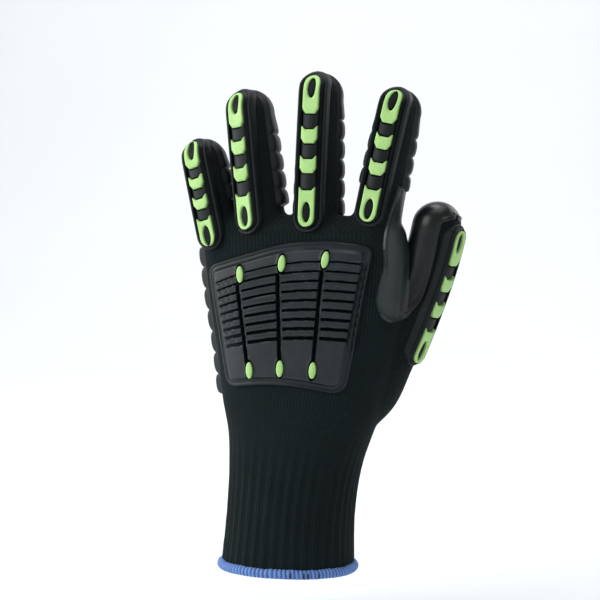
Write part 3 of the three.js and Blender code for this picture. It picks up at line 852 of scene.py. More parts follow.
@dataclass
class KnitShell:
    """The knitted shell: cuff, palm and five stalls in one piece, open at the cuff."""

    voxel: float = 1.4
    wall: float = 2.0
    foot: float = 4.0
    ribs: int = 40
    rib_depth: float = 0.9
    smoothing: int = 5
    trunk_radius: float = 38
    crotch: float = 8
    trunk_faces: tuple[int, int] = (150, 120)
    digit_faces: tuple[int, int] = (48, 72)
    surface: BVHTree | None = None

    def build(self) -> bpy.types.Object:
        """Models the shell, and keeps its outer surface for the coats that follow it.

        Returns:
            The shell with its ribs, its wall and its weave attribute.
        """
        shell = skin("knit_shell", *self.trunk_faces, self._trunk)
        stalls = [skin(f"stall_{digit.name}", *self.digit_faces, self._digit(digit)) for digit in DIGITS]
        choose(shell)
        for stall in stalls:
            stall.select_set(True)
        bpy.ops.object.join()
        apply_modifier(shell, "REMESH", mode="VOXEL", voxel_size=self.voxel * MM)
        apply_modifier(shell, "SMOOTH", factor=0.5, iterations=self.smoothing)
        self._open(shell)
        self._rib(shell)
        self.surface = BVHTree.FromObject(shell, bpy.context.evaluated_depsgraph_get())
        weave = self._weave(coordinates(shell) / MM)
        point_attribute(shell, "weave", weave)
        apply_modifier(shell, "SOLIDIFY", thickness=self.wall * MM, offset=-1.0)
        bpy.ops.object.shade_smooth()
        return shell

    def _trunk(self, turn: Points, share: Points) -> Points:
        """The cuff and palm, closed at both ends.

        Args:
            turn: share of the way round.
            share: share of the height.

        Returns:
            The points.
        """
        height = -4 + (TRUNK.top + 4) * np.clip((share - 0.01) / 0.98, 0, 1)
        rim = TRUNK.point(2 * math.pi * turn, height, 0)
        x, y, *_ = TRUNK.section(height)
        ends = (share < 1e-6) | (share > 1 - 1e-6)
        return np.where(ends[:, None], np.stack([x, y, height], -1), rim)

    def _digit(self, digit: Digit) -> Place:
        """One stall, closed at its root.

        Args:
            digit: the finger or thumb.

        Returns:
            What places the stall's skin.
        """
        def place(turn: Points, share: Points) -> Points:
            """Points of the stall's skin, drawn together at its root."""
            distance = digit.reach * np.clip((share - 0.01) / 0.99, 0, 1)
            rim = digit.surface(2 * math.pi * turn, distance, 0)
            root = digit.centre(np.zeros(1))
            return np.where((share < 1e-6)[:, None], root, rim)
        return place

    def _open(self, shell: bpy.types.Object) -> None:
        """Cuts the shell open above the hem."""
        choose(shell)
        bpy.ops.object.mode_set(mode="EDIT")
        bpy.ops.mesh.select_all(action="SELECT")
        bpy.ops.mesh.bisect(plane_co=(0, 0, self.foot * MM), plane_no=(0, 0, 1), clear_inner=True)
        bpy.ops.object.mode_set(mode="OBJECT")

    def _rib(self, shell: bpy.types.Object) -> None:
        """Sinks the valleys between the cuff's ribs. The ribs fade out towards the wrist."""
        points = coordinates(shell) / MM
        x, y, half_width, half_depth, _ = TRUNK.section(points[:, 2])
        angle = np.arctan2((points[:, 0] - x) / half_width, -(points[:, 1] - y) / half_depth)
        fade = 1 - smooth_step(points[:, 2], 48, TRUNK.cuff_length + 8)
        depth = self.rib_depth * fade * (1 - np.cos(angle * self.ribs)) / 2
        inward = np.stack([x - points[:, 0], y - points[:, 1], np.zeros(len(points))], -1)
        inward /= np.linalg.norm(inward, axis=1, keepdims=True)
        put(shell, points + inward * depth[:, None])

    def _weave(self, points: Points) -> Points:
        """Across and along each part of the shell, in millimetres, for the loops of the knit.

        Args:
            points: the shell's vertices in millimetres.

        Returns:
            A row of three for each vertex, the last of them 0.
        """
        x, y, half_width, half_depth, _ = TRUNK.section(points[:, 2])
        angle = np.arctan2((points[:, 0] - x) / half_width, -(points[:, 1] - y) / half_depth)
        weave = np.stack([angle * self.trunk_radius, points[:, 2], np.zeros(len(points))], -1)
        fingers = points[:, 2] > TRUNK.top - self.crotch
        nearest = np.where(points[:, 2] < TRUNK.top - self.crotch, 0.0, 1e9)
        for digit in DIGITS:
            line = np.linspace(0, digit.length, 60)
            axis = digit.centre(line)
            gaps = np.linalg.norm(points[:, None] - axis[None], axis=2)
            best = gaps.argmin(axis=1)
            spare = gaps[np.arange(len(points)), best] - digit.radius(line[best])
            offset = points - axis[best]
            base = digit.place(np.zeros(len(points)), line[best], np.ones(len(points))) - axis[best]
            side = digit.place(np.ones(len(points)), line[best], np.zeros(len(points))) - axis[best]
            turn = np.arctan2((offset * side).sum(1), (offset * base).sum(1))
            inside = np.abs(points[:, 0] - x) / half_width
            mine = (spare < nearest) & (fingers | ((digit is THUMB) & (inside > 1.04)))
            mine_weave = np.stack([turn * digit.width / 2, line[best], np.zeros(len(points))], -1)
            weave = np.where(mine[:, None], mine_weave, weave)
            nearest = np.where(mine, spare, nearest)
        return weave


@dataclass
class Hem:
    """The blue overlocked edge: a roll of yarn loops round the cuff's opening."""

    height: float = 5.2
    thickness: float = 4.6
    overhang: float = 0.8
    loops: int = 104
    relief: float = 0.28
    waver: float = 0.3
    # turns round the cuff of four gaps in the stitching, where near-black shade is painted
    gap_shade: tuple = (0.0437, 0.0740, 0.0845, 0.1100)

    def build(self) -> bpy.types.Object:
        """Models the roll with its loops, and marks where shade is painted: in the valleys between the loops
        and at four gaps in the stitching.
        """
        around, section = self.loops * 8, 18
        piece = unit_grid("hem_roll", around, section)
        shares = coordinates(piece)[:, :2] + 0.5
        points, loop = self._place(shares[:, 0], shares[:, 1])
        put(piece, points)
        # The material paints shade from this, darker towards the valleys between the loops.
        point_attribute(piece, "loop", loop)
        # Painted near-black shade at those gaps, only on the lower, outer part of the roll.
        low = smooth_step(np.cos(2 * math.pi * (shares[:, 1] - 0.86)), -0.2, 0.5)
        gap_shade = [np.exp(-(((shares[:, 0] - spot) / 0.0028) ** 2)) for spot in self.gap_shade]
        point_attribute(piece, "gap_shade", np.max(gap_shade, axis=0) * low)
        tidy_mesh(piece, 60)
        return piece

    def _place(self, turn: Points, share: Points) -> tuple[Points, Points]:
        """Points of the roll, and how high on a loop each lies from 0 to 1.

        Args:
            turn: share of the way round the cuff.
            share: share of the way round the roll.

        Returns:
            The points and their heights on the loops.
        """
        phase = 2 * math.pi * (self.loops * turn + 0.12 * np.sin(2 * math.pi * share))
        loop = (0.5 + 0.5 * np.cos(phase)) ** 0.6
        angle = 2 * math.pi * share
        out = np.cos(angle) * (self.thickness / 2 - self.relief * (1 - loop))
        height = self.height / 2 + np.sin(angle) * (self.height / 2 - self.relief * (1 - loop))
        run = 2 * math.pi * turn
        waver = 0.5 * np.sin(9 * run) + 0.3 * np.sin(23 * run + 1) + 0.35 * np.sin(41 * run + 2)
        height = height + self.waver * waver * (0.6 + 0.4 * np.sin(angle))
        return TRUNK.point(run, height, self.overhang - 1 + out), loop


@dataclass
class KnucklePlate:
    """The moulded plate over the knuckles: a flange, a domed field, cross grooves, long slots and studs."""

    width: float = 91
    length: float = 77
    across: float = 6.7
    up: float = 137.6
    flange: float = 2.0
    field: float = 4.8
    flange_width: float = 4.5
    groove_depth: float = 2.2
    grooves: int = 9
    slot_width: float = 1.7
    seat: float = 0.1
    faces: tuple[int, int] = (200, 210)
    # x, y and rounding of each corner, in shares of the width and length
    corners: tuple = (
        (-0.512, 0.332, 0.07), (0.078, 0.54, 0.25), (0.502, 0.488, 0.07),
        (0.35, -0.519, 0.1), (-0.038, -0.445, 0.2), (-0.381, -0.499, 0.08),
    )
    # upper stud, lower stud and lean in degrees of each long slot
    slots: tuple = (
        ((-0.279, 0.284), (-0.212, -0.364), 4),
        ((-0.023, 0.365), (-0.022, -0.343), -4),
        ((0.234, 0.396), (0.174, -0.347), -8),
    )
    # heights at the left, middle and right, the two ends and the width of a groove
    first: tuple = (0.216, 0.364, 0.369, -0.44, 0.44, 0.4)
    last: tuple = (-0.22, -0.138, -0.142, -0.38, 0.37, 1.3)
    # how far each slot's upper end lies beside and under its stud, and its lower end beside its own
    slot_ends: tuple = ((-1.3, -6.4, -0.8), (-2.0, -6.4, 0.0), (-1.6, -6.4, 0.0))
    stud: tuple[float, float] = (3.8, 8.8)

    def spot(self, x: float, y: float) -> Points:
        """A place on the plate from shares of its sizes, as x and height."""
        return np.array([self.across + x * self.width, self.up + y * self.length])

    def _sides(self) -> list[Points]:
        """The outline as four smooth curves: top and bottom from the left, left and right from below."""
        curves = []
        count = len(self.corners)
        for i, (x, y, rounding) in enumerate(self.corners):
            corner = self.spot(x, y)
            before = self.spot(*self.corners[i - 1][:2])
            after = self.spot(*self.corners[(i + 1) % count][:2])
            reach = rounding * self.width
            into = corner + (before - corner) / np.linalg.norm(before - corner) * reach
            out = corner + (after - corner) / np.linalg.norm(after - corner) * reach
            t = np.linspace(0, 1, 24)[:, None]
            curves.append((1 - t) ** 2 * into + 2 * t * (1 - t) * corner + t**2 * out)
        half = 12
        top = np.vstack([curves[0][half:], curves[1], curves[2][: half + 1]])
        right = np.vstack([curves[2][half:], curves[3][: half + 1]])
        bottom = np.vstack([curves[3][half:], curves[4], curves[5][: half + 1]])
        left = np.vstack([curves[5][half:], curves[0][: half + 1]])
        even = np.linspace(0, 1, 400)
        return [self._read(side, even) for side in (top, bottom[::-1], left, right[::-1])]

    @staticmethod
    def _read(curve: Points, share: Points) -> Points:
        """Points at shares of a curve's length."""
        steps = np.linalg.norm(np.diff(curve, axis=0), axis=1)
        length = np.concatenate([[0], np.cumsum(steps)])
        return np.stack([np.interp(share * length[-1], length, curve[:, axis]) for axis in (0, 1)], -1)

    def _flat(self, u: Points, v: Points) -> Points:
        """The plate's outline filled evenly from its four sides, as x and height.

        Args:
            u: share of the way across.
            v: share of the way up.

        Returns:
            A row of x and height for each place.
        """
        top, bottom, left, right = self._sides()
        one, two = u[:, None], v[:, None]
        rows = (1 - two) * self._read(bottom, u) + two * self._read(top, u)
        columns = (1 - one) * self._read(left, v) + one * self._read(right, v)
        mix = ((1 - one) * (1 - two) * bottom[0] + one * (1 - two) * bottom[-1]
               + (1 - one) * two * top[0] + one * two * top[-1])
        return rows + columns - mix

    def _groove_line(self, row: tuple, x: Points) -> Points:
        """Height of a groove's curve at each x.

        Args:
            row: the groove's heights, ends and width.
            x: places across.

        Returns:
            The height at each place.
        """
        left, middle, right, start, end, _ = row
        share = (x - self.across - start * self.width) / ((end - start) * self.width)
        bow = 2 * middle - (left + right) / 2
        curve = (1 - share) ** 2 * left + 2 * share * (1 - share) * bow + share**2 * right
        return self.up + curve * self.length

    def _height(self, flat: Points) -> tuple[Points, Points]:
        """How high the plate stands at each place, and how much shade is painted there from 0 to 1.

        Args:
            flat: a row of x and height for each place.

        Returns:
            The plate's height, and the painted shade: the depth of its cuts, and 0.35 on its flange.
        """
        edge = distance_to(flat, np.vstack(self._sides()))
        x, up = flat[:, 0], flat[:, 1]
        rim = self.flange * smooth_step(edge, -0.7, 0.7)
        rim = rim - 0.35 * np.exp(-(((edge - 2.0) / 0.45) ** 2))
        rise = smooth_step(edge, self.flange_width - 1.5, self.flange_width + 0.5)
        dome = self.field - 0.5 + 0.6 * smooth_step(edge, self.flange_width, 22)
        height = rim + (dome - rim) * rise
        upper, lower = self._groove_line(self.first, x), self._groove_line(self.last, x)
        index = (up - upper) / (lower - upper) * (self.grooves - 1)
        spacing = np.abs(lower - upper) / (self.grooves - 1)
        near = np.clip(np.round(index), 0, self.grooves - 1)
        share = near / (self.grooves - 1)
        half = (self.first[5] + (self.last[5] - self.first[5]) * share) / 2
        start = self.across + self.width * (self.first[3] + (self.last[3] - self.first[3]) * share)
        end = self.across + self.width * (self.first[4] + (self.last[4] - self.first[4]) * share)
        off = np.abs(index - near) * spacing
        groove = 1 - smooth_step(off, half - 0.3, half + 0.35)
        groove *= smooth_step(x, start - 0.4, start + 0.4) * (1 - smooth_step(x, end - 0.4, end + 0.4))
        slat = np.clip(index - near + 0.5, 0, 1) * smooth_step(index, -0.4, 0.6)
        slat *= 1 - smooth_step(index, 7.6, 8.4)
        inside = smooth_step(x, start, start + 3) * (1 - smooth_step(x, end - 3, end))
        slope = 1.6 * np.clip((x - end + 5.5) / 5.5, 0, 1) * (1 - smooth_step(x, end + 1, end + 3))
        height = height - 0.45 * slat * inside - slope * smooth_step(index, -0.4, 0.2)
        cut = groove * (0.5 + 0.5 * smooth_step(x, start, start + 16))
        for (top, bottom, _), (beside_top, under, beside_bottom) in zip(self.slots, self.slot_ends):
            high, low = self.spot(*top) + (beside_top, under), self.spot(*bottom) + (beside_bottom, 0)
            share = np.clip((up - low[1]) / (high[1] - low[1]), 0, 1)
            middle = low[0] + (high[0] - low[0]) * share
            beside = smooth_step(x - middle, 0.4, 0.8) * (1 - smooth_step(x - middle, 2.0, 2.4))
            cut = cut * (1 - beside)
            out = np.hypot(x - middle, np.maximum(0, np.maximum(low[1] - up, up - high[1])))
            cut = np.maximum(cut, 1 - smooth_step(out, self.slot_width / 2 - 0.25, self.slot_width / 2 + 0.3))
        for middle, lean in self.studs():
            out = self._stud_distance(flat, middle, lean)
            height = height + 0.2 * np.exp(-(((out - 1.42) / 0.2) ** 2))
            cut = np.maximum(cut, 1 - smooth_step(out, 1.14, 1.26))
        # The second value is painted shade: the depth of the cuts, and 0.35 on the low flange.
        return height - self.groove_depth * cut * rise, cut * rise + 0.35 * (1 - rise)

    def studs(self) -> list[tuple[Points, float]]:
        """Middle and lean of each stud."""
        return [pair for top, bottom, lean in self.slots
                for pair in ((self.spot(*top), lean), (self.spot(*bottom), lean / 2))]

    def _stud_distance(self, flat: Points, middle: Points, lean: float) -> Points:
        """How far out of a stud each place lies, as a share of the stud's size.

        Args:
            flat: a row of x and height for each place.
            middle: the stud's middle.
            lean: its lean in degrees.

        Returns:
            The share, which is 1 on the stud's edge.
        """
        turn = math.radians(lean)
        x, y = (flat - middle).T
        side = x * math.cos(turn) + y * math.sin(turn)
        along = -x * math.sin(turn) + y * math.cos(turn)
        return np.hypot(side / (self.stud[0] / 2), along / (self.stud[1] / 2))

    def build(self) -> bpy.types.Object:
        """Models the plate as one slab that follows the back of the glove."""
        def place(u: Points, v: Points, upper: Points) -> Points:
            """Points of the plate's upper side and of its foot."""
            flat = self._flat(u, v)
            height = np.where(upper, self._height(flat)[0], -0.4) + self.seat
            return np.stack([flat[:, 0], TRUNK.back(flat[:, 0], flat[:, 1], height), flat[:, 1]], -1)
        plate = slab("knuckle_shield", *self.faces, place)
        points = coordinates(plate) / MM
        # Painted shade in the plate's cuts and on its flange, for its material.
        point_attribute(plate, "sunk_shade", self._height(points[:, [0, 2]])[1])
        return plate

    def build_stud(self, number: int) -> bpy.types.Object:
        """Models one lime stud: an oval with a round top, set in the plate.

        Args:
            number: the stud's number, from 0.

        Returns:
            The new piece.
        """
        middle, lean = self.studs()[number]
        turn = math.radians(lean)
        face = self.field + self.seat
        # share of the stud's size and height of each ring, from the foot's middle over the top
        rings = np.array([(0, -1.5), (0.97, -1.5), (0.98, -0.1), (0.93, 0.35), (0.78, 0.6), (0.4, 0.75),
                          (0, 0.8)])

        def place(u: Points, v: Points) -> Points:
            """Points of the stud's skin, ring by ring."""
            out, height = read_rings(rings, v)
            height = height + face
            side = out * self.stud[0] / 2 * np.cos(2 * math.pi * u)
            along = out * self.stud[1] / 2 * np.sin(2 * math.pi * u)
            x = middle[0] + side * math.cos(turn) - along * math.sin(turn)
            up = middle[1] + side * math.sin(turn) + along * math.cos(turn)
            return np.stack([x, TRUNK.back(x, up, height), up], -1)
        return skin(f"stud_{number + 1}", 32, 18, place)


@dataclass(frozen=True)
class Insert:
    """One lime insert of a guard, with its place and length as shares of the guard's length."""

    name: str
    start: float
    length: float
    top: End
    bottom: End
    window: float | None = None


INSERTS = (
    Insert("tip", 0.725, 0.24, End.ROUND, End.CUT, 0.66),
    Insert("upper", 0.542, 0.085, End.HORNED, End.CUT),
    Insert("lower", 0.36, 0.085, End.HORNED, End.CUT),
    Insert("base", 0.035, 0.22, End.HORNED, End.ROUND, 0.4),
)


@dataclass
class Guard:
    """A digit's moulded guard with its lime inserts."""

    digit: Digit
    width: float = 16
    height: float = 3.4
    sink: float = 1.6
    proud: float = 0.7
    insert_width: float = 8.8
    corner: float = 1.85
    cut: float = 2.7
    window: tuple[float, float] = (4.7, 10.6)
    gap: float = 0.4
    drop: float = 0.4
    faces: tuple[int, int] = (60, 170)

    @property
    def end(self) -> float:
        """Distance of the guard's upper end from the digit's root."""
        return self.digit.length + self.digit.over

    def _span(self, insert: Insert) -> tuple[float, float]:
        """Lower and upper end of an insert along the digit."""
        low = self.end - self.digit.guard * (1 - insert.start)
        return low, low + insert.length * self.digit.guard

    def _ends(self, insert: Insert, x: Points) -> tuple[Points, Points]:
        """Lower and upper edge of an insert at each x.

        Args:
            insert: the insert.
            x: places across the guard.

        Returns:
            The edges, as distances along the digit.
        """
        low, high = self._span(insert)
        half = self.insert_width / 2
        inner = np.clip(np.abs(x), 0, half)
        arc = half - np.sqrt(np.maximum(half**2 - inner**2, 0))
        rise = np.maximum(0, inner - (half - self.corner)) / self.corner
        cut = self.cut * rise**1.15
        horn = self.corner * rise**1.15
        bottom = low + (arc if insert.bottom is End.ROUND else cut)
        top = high - arc if insert.top is End.ROUND else high + horn
        return bottom, top

    def _top(self, x: Points, y: Points) -> tuple[Points, Points]:
        """How high the guard stands over the digit's back, and how much shade is painted there from 0 to 1.

        Args:
            x: places across the guard.
            y: distances along the digit.

        Returns:
            The guard's height, and the painted shade: full in its pockets and half on the plugs in its
            windows.
        """
        radius = self.width / 2
        foot, head = self.end - self.digit.guard + radius, self.end - radius
        past = np.maximum(0, np.maximum(foot - y, y - head))
        edge = radius - np.hypot(x, past)
        half = self.insert_width / 2
        room = radius - half - self.gap
        flange = 1.75 * smooth_step(edge, -0.9, 0.5) - 0.45 * np.exp(-(((edge - room + 1.45) / 0.35) ** 2))
        ridge = smooth_step(edge, room - 1.2, room - 0.6)
        height = flange + (self.height + 0.1 - flange) * ridge
        inside = smooth_step(edge, room - 0.45, room)
        side = smooth_step(radius - edge, half - 0.15, half + 0.1)
        pocket = side.copy()
        plug = np.zeros(len(x))
        for insert in INSERTS:
            bottom, top = self._ends(insert, x)
            above = smooth_step(y - bottom, -self.gap - 0.3, -self.gap)
            below = smooth_step(top - y, -self.gap - 0.3, -self.gap)
            pocket = np.maximum(pocket, above * below)
            if insert.window:
                low, high = self._span(insert)
                middle = low + insert.window * (high - low)
                out = np.hypot(x / (self.window[0] / 2), (y - middle) / (self.window[1] / 2))
                pocket = pocket * smooth_step(out, 0.78, 0.92)
                plug = np.maximum(plug, 1 - smooth_step(out, 0.78, 0.92))
        saddle = self.height - 0.15 - 0.9 * (x / half) ** 2
        floor = self.height - self.sink - 0.6
        channel = saddle + (floor - saddle) * pocket
        # The second value is painted shade: full in the pockets, half on the plugs in the windows.
        return height + (channel - height) * inside, np.maximum(pocket, 0.5 * plug) * inside

    def build(self) -> bpy.types.Object:
        """Models the guard as a strip with round ends that follows the digit's back."""
        digit = self.digit
        radius = self.width / 2
        cuts: list[Points] = []

        def place(u: Points, v: Points, upper: Points) -> Points:
            """Points of the strip. How much shade is painted there is kept for the strip's material."""
            low, high = self.end - digit.guard, self.end
            turn = 0.5 - 0.5 * np.cos(math.pi * np.clip(v, 0, 1))
            along = low + (high - low) * (0.82 * v + 0.18 * turn)
            ends = radius - np.minimum(np.minimum(along - low, high - along), radius)
            half = np.sqrt(np.maximum(radius**2 - ends**2, 0.01))
            x = (2 * u - 1) * half
            reach = digit.back_reach(along)
            top = reach + self._top(x, along)[0]
            sag = (x / radius) ** 2 + (ends / radius) ** 2
            under = reach - 0.7 - (self.drop * digit.tip_radius - 0.7) * np.clip(sag, 0, 1)
            cuts.append(np.where(upper, self._top(x, along)[1], 0))
            return digit.place(x, along, np.where(upper, top, under))

        strip = slab(f"finger_guard_{digit.name}", *self.faces, place, tidy=False)
        # Painted shade in the pockets and windows, for the strip's material.
        point_attribute(strip, "sunk_shade", cuts[0])
        tidy_mesh(strip)
        return strip

    def build_insert(self, insert: Insert) -> bpy.types.Object:
        """Models one insert: a soft-edged block, with an oval window where it has one.

        Args:
            insert: the insert.

        Returns:
            The new piece.
        """
        digit = self.digit
        low, high = self._span(insert)
        half = self.insert_width / 2
        face, foot = self.height + self.proud, self.height - self.sink
        if insert.window:
            rings = np.array([(0, foot), (0, face - 0.5), (0.05, face - 0.15), (0.16, face), (0.8, face),
                              (0.93, face - 0.15), (1, face - 0.6), (1, foot), (0, foot)])
        else:
            rings = np.array([(1, foot), (0, foot), (0, face - 0.5), (0.07, face - 0.15), (0.2, face),
                              (1, face + 0.25)])

        def outline(u: Points) -> tuple[Points, Points]:
            """Points round the insert: up its right side, over its top and down its left side."""
            part = (u * 4) % 4
            sides = [part < 1, part < 2, part < 3]
            across = np.select(sides, [half, half * (3 - 2 * part), -half], half * (2 * part - 7))
            bottom, top = self._ends(insert, across)
            rise = np.select(sides, [part, 1, 3 - part], 0)
            return across, bottom + (top - bottom) * rise

        def place(u: Points, v: Points) -> Points:
            """Points of the insert's skin, ring by ring."""
            share, height = read_rings(rings, v)
            x, y = outline(u)
            if insert.window:
                middle = low + insert.window * (high - low)
                turn = np.arctan2((y - middle) / (high - low), x / self.insert_width)
                inner_x = self.window[0] / 2 * np.cos(turn)
                inner_y = middle + self.window[1] / 2 * np.sin(turn)
            else:
                inner_x, inner_y = np.zeros(len(x)), np.full(len(x), (low + high) / 2 + 0.4)
            x, y = x + (inner_x - x) * share, y + (inner_y - y) * share
            return digit.place(x, y, digit.back_reach(y) + height)
        return skin(f"lime_{digit.name}_{insert.name}", 96, 4 * (len(rings) - 1), place)


@dataclass
class Coats:
    """The rubber coating of the palm side, the fingertips, the thumb and the web."""

    thickness: float = 1.3
    smooth: float = 0.9
    bead: float = 0.6
    bead_width: float = 1.3
    crest: float = 2.5
    cap: float = 2.4
    block: float = 3.7
    side: float = 0.5
    heel: float = 93
    rows: int = 7
    pitch: float = 11.4
    turn: tuple[float, float] = (0.285, 0.765)
    thumb_length: float = 76
    column: float = 13.5

    def _wave(self, phase: Points) -> Points:
        """A round crest with narrow valleys once in each whole step of the phase, from 0 to 1."""
        off = np.abs(2 * (phase - np.floor(phase)) - 1)
        return np.sqrt(np.clip(1 - off**self.crest, 0, 1))

    def _smooth_depth(self, gap: Points, share: Points | float = 1.0) -> Points:
        """Thickness of a smooth coat: a rounded bead along its border, then an even sheet.

        Args:
            gap: how far each place lies from the border.
            share: how much of the bead is there.

        Returns:
            The thickness at each place.
        """
        rounding = np.sqrt(1 - (1 - np.clip(gap / self.bead_width, 0, 1)) ** 2)
        bead = self.bead * np.exp(-(((gap - self.bead_width) / 0.9) ** 2)) * share
        return (self.smooth + bead) * rounding

    def finger(self, digit: Digit) -> bpy.types.Object:
        """Models a finger's coat: ribs below a thick cap round the tip.

        Args:
            digit: the finger.

        Returns:
            The new piece.
        """
        cap_foot = digit.length - digit.cap
        foot = cap_foot - digit.ribs * digit.pitch

        def place(u: Points, v: Points, upper: Points) -> Points:
            """Points of the coat, thicker over its ribs and its cap."""
            angle = math.pi + (u - 0.5) * math.radians(204)
            distance = foot + v * (digit.reach - foot)
            phase = (distance - foot) / digit.pitch
            ribs = self.thickness + (self.block - self.thickness) * self._wave(phase)
            swell = np.sqrt(np.clip(1 - np.clip(1 - (distance - cap_foot) / 2.6, 0, 1) ** 2.4, 0, 1))
            lip = self.cap + 0.9 * (1 - smooth_step(distance - cap_foot, 2, 12))
            cap = self.thickness + (lip - self.thickness) * swell
            depth = np.where(distance < cap_foot, ribs, cap)
            rise = np.clip((distance - digit.bend) / digit.tip_radius, 0, math.pi / 2)
            facing = np.maximum(0, -np.cos(angle))
            thin = self.side + (1 - self.side) * facing**0.7
            depth = depth * (thin + (1 - thin) * np.sin(rise))
            border = smooth_step(np.minimum(u, 1 - u), 0, 0.07) * smooth_step(v, 0, 0.03)
            border = np.maximum(border, smooth_step(rise, 0.9, 1.5))
            return digit.surface(angle, distance, np.where(upper, 0.1 + depth * border, -0.3))
        return slab(f"palm_coat_{digit.name}", 44, int((digit.reach - foot) / 0.5), place)

    @staticmethod
    def _thumb_wrap(distance: Points) -> Points:
        """Half the angle that the thumb's coat wraps at each distance, from the middle of the palm side."""
        knots = (51, 62, 70, 76, 88, 100, 112)
        wrap = smooth_table(distance, knots, (96, 104, 127, 137, 139, 136, 132))
        return np.radians(wrap + 48 * smooth_step(distance, 118.5, 122.5))

    def thumb(self) -> bpy.types.Object:
        """Models the thumb's smooth coat, which wraps its sides and takes in its whole tip."""
        foot = THUMB.length - self.thumb_length
        radius = THUMB.width / 2
        steps = np.linspace(foot, 122.5, 160)
        side = np.stack([self._thumb_wrap(steps) * radius, steps], -1)
        start = np.stack([np.linspace(0, side[0, 0], 40), np.full(40, foot)], -1)
        border = np.vstack([start, side])

        def place(u: Points, v: Points, upper: Points) -> Points:
            """Points of the coat, in rows from its foot over the tip."""
            distance = foot + v * (THUMB.reach - foot)
            turn = (2 * u - 1) * self._thumb_wrap(distance)
            flat = np.stack([np.abs(turn) * radius, distance], -1)
            depth = self._smooth_depth(distance_to(flat, border))
            return THUMB.surface(math.pi + turn, distance, np.where(upper, 0.1 + depth, -0.3))
        return sheet("palm_coat_thumb", 84, 124, place)

    def palm(self) -> bpy.types.Object:
        """Models the palm's coat with its rows of blocks, parted by long slots."""
        crown = self.heel + self.rows * self.pitch

        def place(u: Points, v: Points, upper: Points) -> Points:
            """Points of the coat, thicker over its blocks."""
            angle = 2 * math.pi * (self.turn[0] + u * (self.turn[1] - self.turn[0]))
            height = self.heel + v * (crown - self.heel)
            row = self._wave((height - self.heel) / self.pitch)
            surface = TRUNK.point(angle, height, 0)
            columns = np.where(surface[:, 1] > 0, surface[:, 0] / self.column, 0.5)
            cell = np.maximum(self._wave(columns + 0.5), np.where(surface[:, 1] > 0, 0, 1))
            depth = self.thickness + (self.block - self.thickness) * row * (0.25 + 0.75 * cell)
            border = smooth_step(u, 0, 0.12) * smooth_step(1 - u, 0, 0.025)
            border *= smooth_step(np.minimum(v, 1 - v), 0, 0.012)
            return TRUNK.point(angle, height, np.where(upper, 0.1 + depth * border, -0.4))
        return slab("palm_coat_palm", 190, 120, place)

    @staticmethod
    def _web_lines() -> Points:
        """Border on the back, ridge and border on the palm side of the leaf.

        Returns:
            Stations from the index finger's side, down the palm's edge and under the crotch to the thumb,
            each with its three points.
        """
        def thumb(angle: float, distance: float) -> tuple[float, ...]:
            """A point of the thumb's skin, from an angle in degrees."""
            return tuple(THUMB.surface(np.radians([angle]), np.array([distance]), 0)[0])
        return np.array([
            ((62.3, -7.9, 206.1), (64.0, -2.3, 205.3), (62.2, 4.3, 205)),
            ((57.8, -11.6, 191), (61.6, -3.6, 190.5), (59.9, 3.4, 190.5)),
            ((56.0, -13.6, 177.5), (65.2, -4.3, 178), (61, 3, 178)),
            ((56.5, -15.2, 164.5), (66.0, -4.3, 165), (61.5, 4.2, 165)),
            ((54.2, -16.7, 154), (66.0, -4.3, 158.5), (61.5, 5, 158)),
            ((53.6, -17.2, 146), (66.3, -4.3, 154.8), (61, 6, 153)),
            ((56.0, -16.2, 138.8), (66.6, -4.3, 153.6), (61, 6.5, 150)),
            ((61.0, -13.0, 135.2), (67.0, -4.3, 153.8), (61.5, 6, 149.5)),
            (thumb(-60, 65), (67.4, -4.3, 155.4), thumb(-135, 80)),
            (thumb(-52, 71), thumb(-88, 85), thumb(-135, 86)),
        ])

    def leaf(self, surface: BVHTree) -> bpy.types.Object:
        """Models the smooth leaf between the index finger and the thumb, laid on the knit and round the web.

        Args:
            surface: the knit shell's outer surface.

        Returns:
            The leaf, with a thick rounded border.
        """
        across, along = 48, 150
        u, v = np.meshgrid(np.linspace(0, 1, across + 1), np.linspace(0, 1, along + 1), indexing="ij")
        lines = self._web_lines()
        knots = np.linspace(0, 1, len(lines))
        outer, ridge, inner = (
            np.stack([smooth_table(v, knots, line[:, axis]) for axis in range(3)], -1)
            for line in lines.transpose(1, 0, 2)
        )
        share = u[..., None]
        guess = (2 * (share - 0.5) * (share - 1) * outer + 4 * share * (1 - share) * ridge
                 + 2 * share * (share - 0.5) * inner)
        laid = np.array([surface.find_nearest(point * MM)[0] for point in guess.reshape(-1, 3)]) / MM
        laid = laid.reshape(guess.shape)
        for _ in range(12):
            laid[1:-1] = (laid[:-2] + 2 * laid[1:-1] + laid[2:]) / 4
            laid[:, 1:-1] = (laid[:, :-2] + 2 * laid[:, 1:-1] + laid[:, 2:]) / 4
        normal = np.cross(np.gradient(laid, axis=0), np.gradient(laid, axis=1))
        normal /= np.linalg.norm(normal, axis=-1, keepdims=True)
        normal *= -np.sign(normal[0, along // 3, 1])
        gap = np.full(u.shape, 99.0)
        for axis, far in ((0, True), (1, False)):
            steps = np.linalg.norm(np.diff(laid, axis=axis), axis=-1)
            run = np.cumsum(np.insert(steps, 0, 0, axis=axis), axis=axis)
            gap = np.minimum(gap, run)
            if far:
                gap = np.minimum(gap, run[-1:] - run)
        depth = self._smooth_depth(gap, 1 - v**8)

        def place(first: Points, second: Points, upper: Points) -> Points:
            """Points of the leaf over and under its laid surface."""
            row = np.round(first * across).astype(int)
            column = np.round(second * along).astype(int)
            out = np.where(upper, 0.1 + depth[row, column], -0.4)
            return laid[row, column] + normal[row, column] * out[:, None]
        return slab("web_leaf", across, along, place)


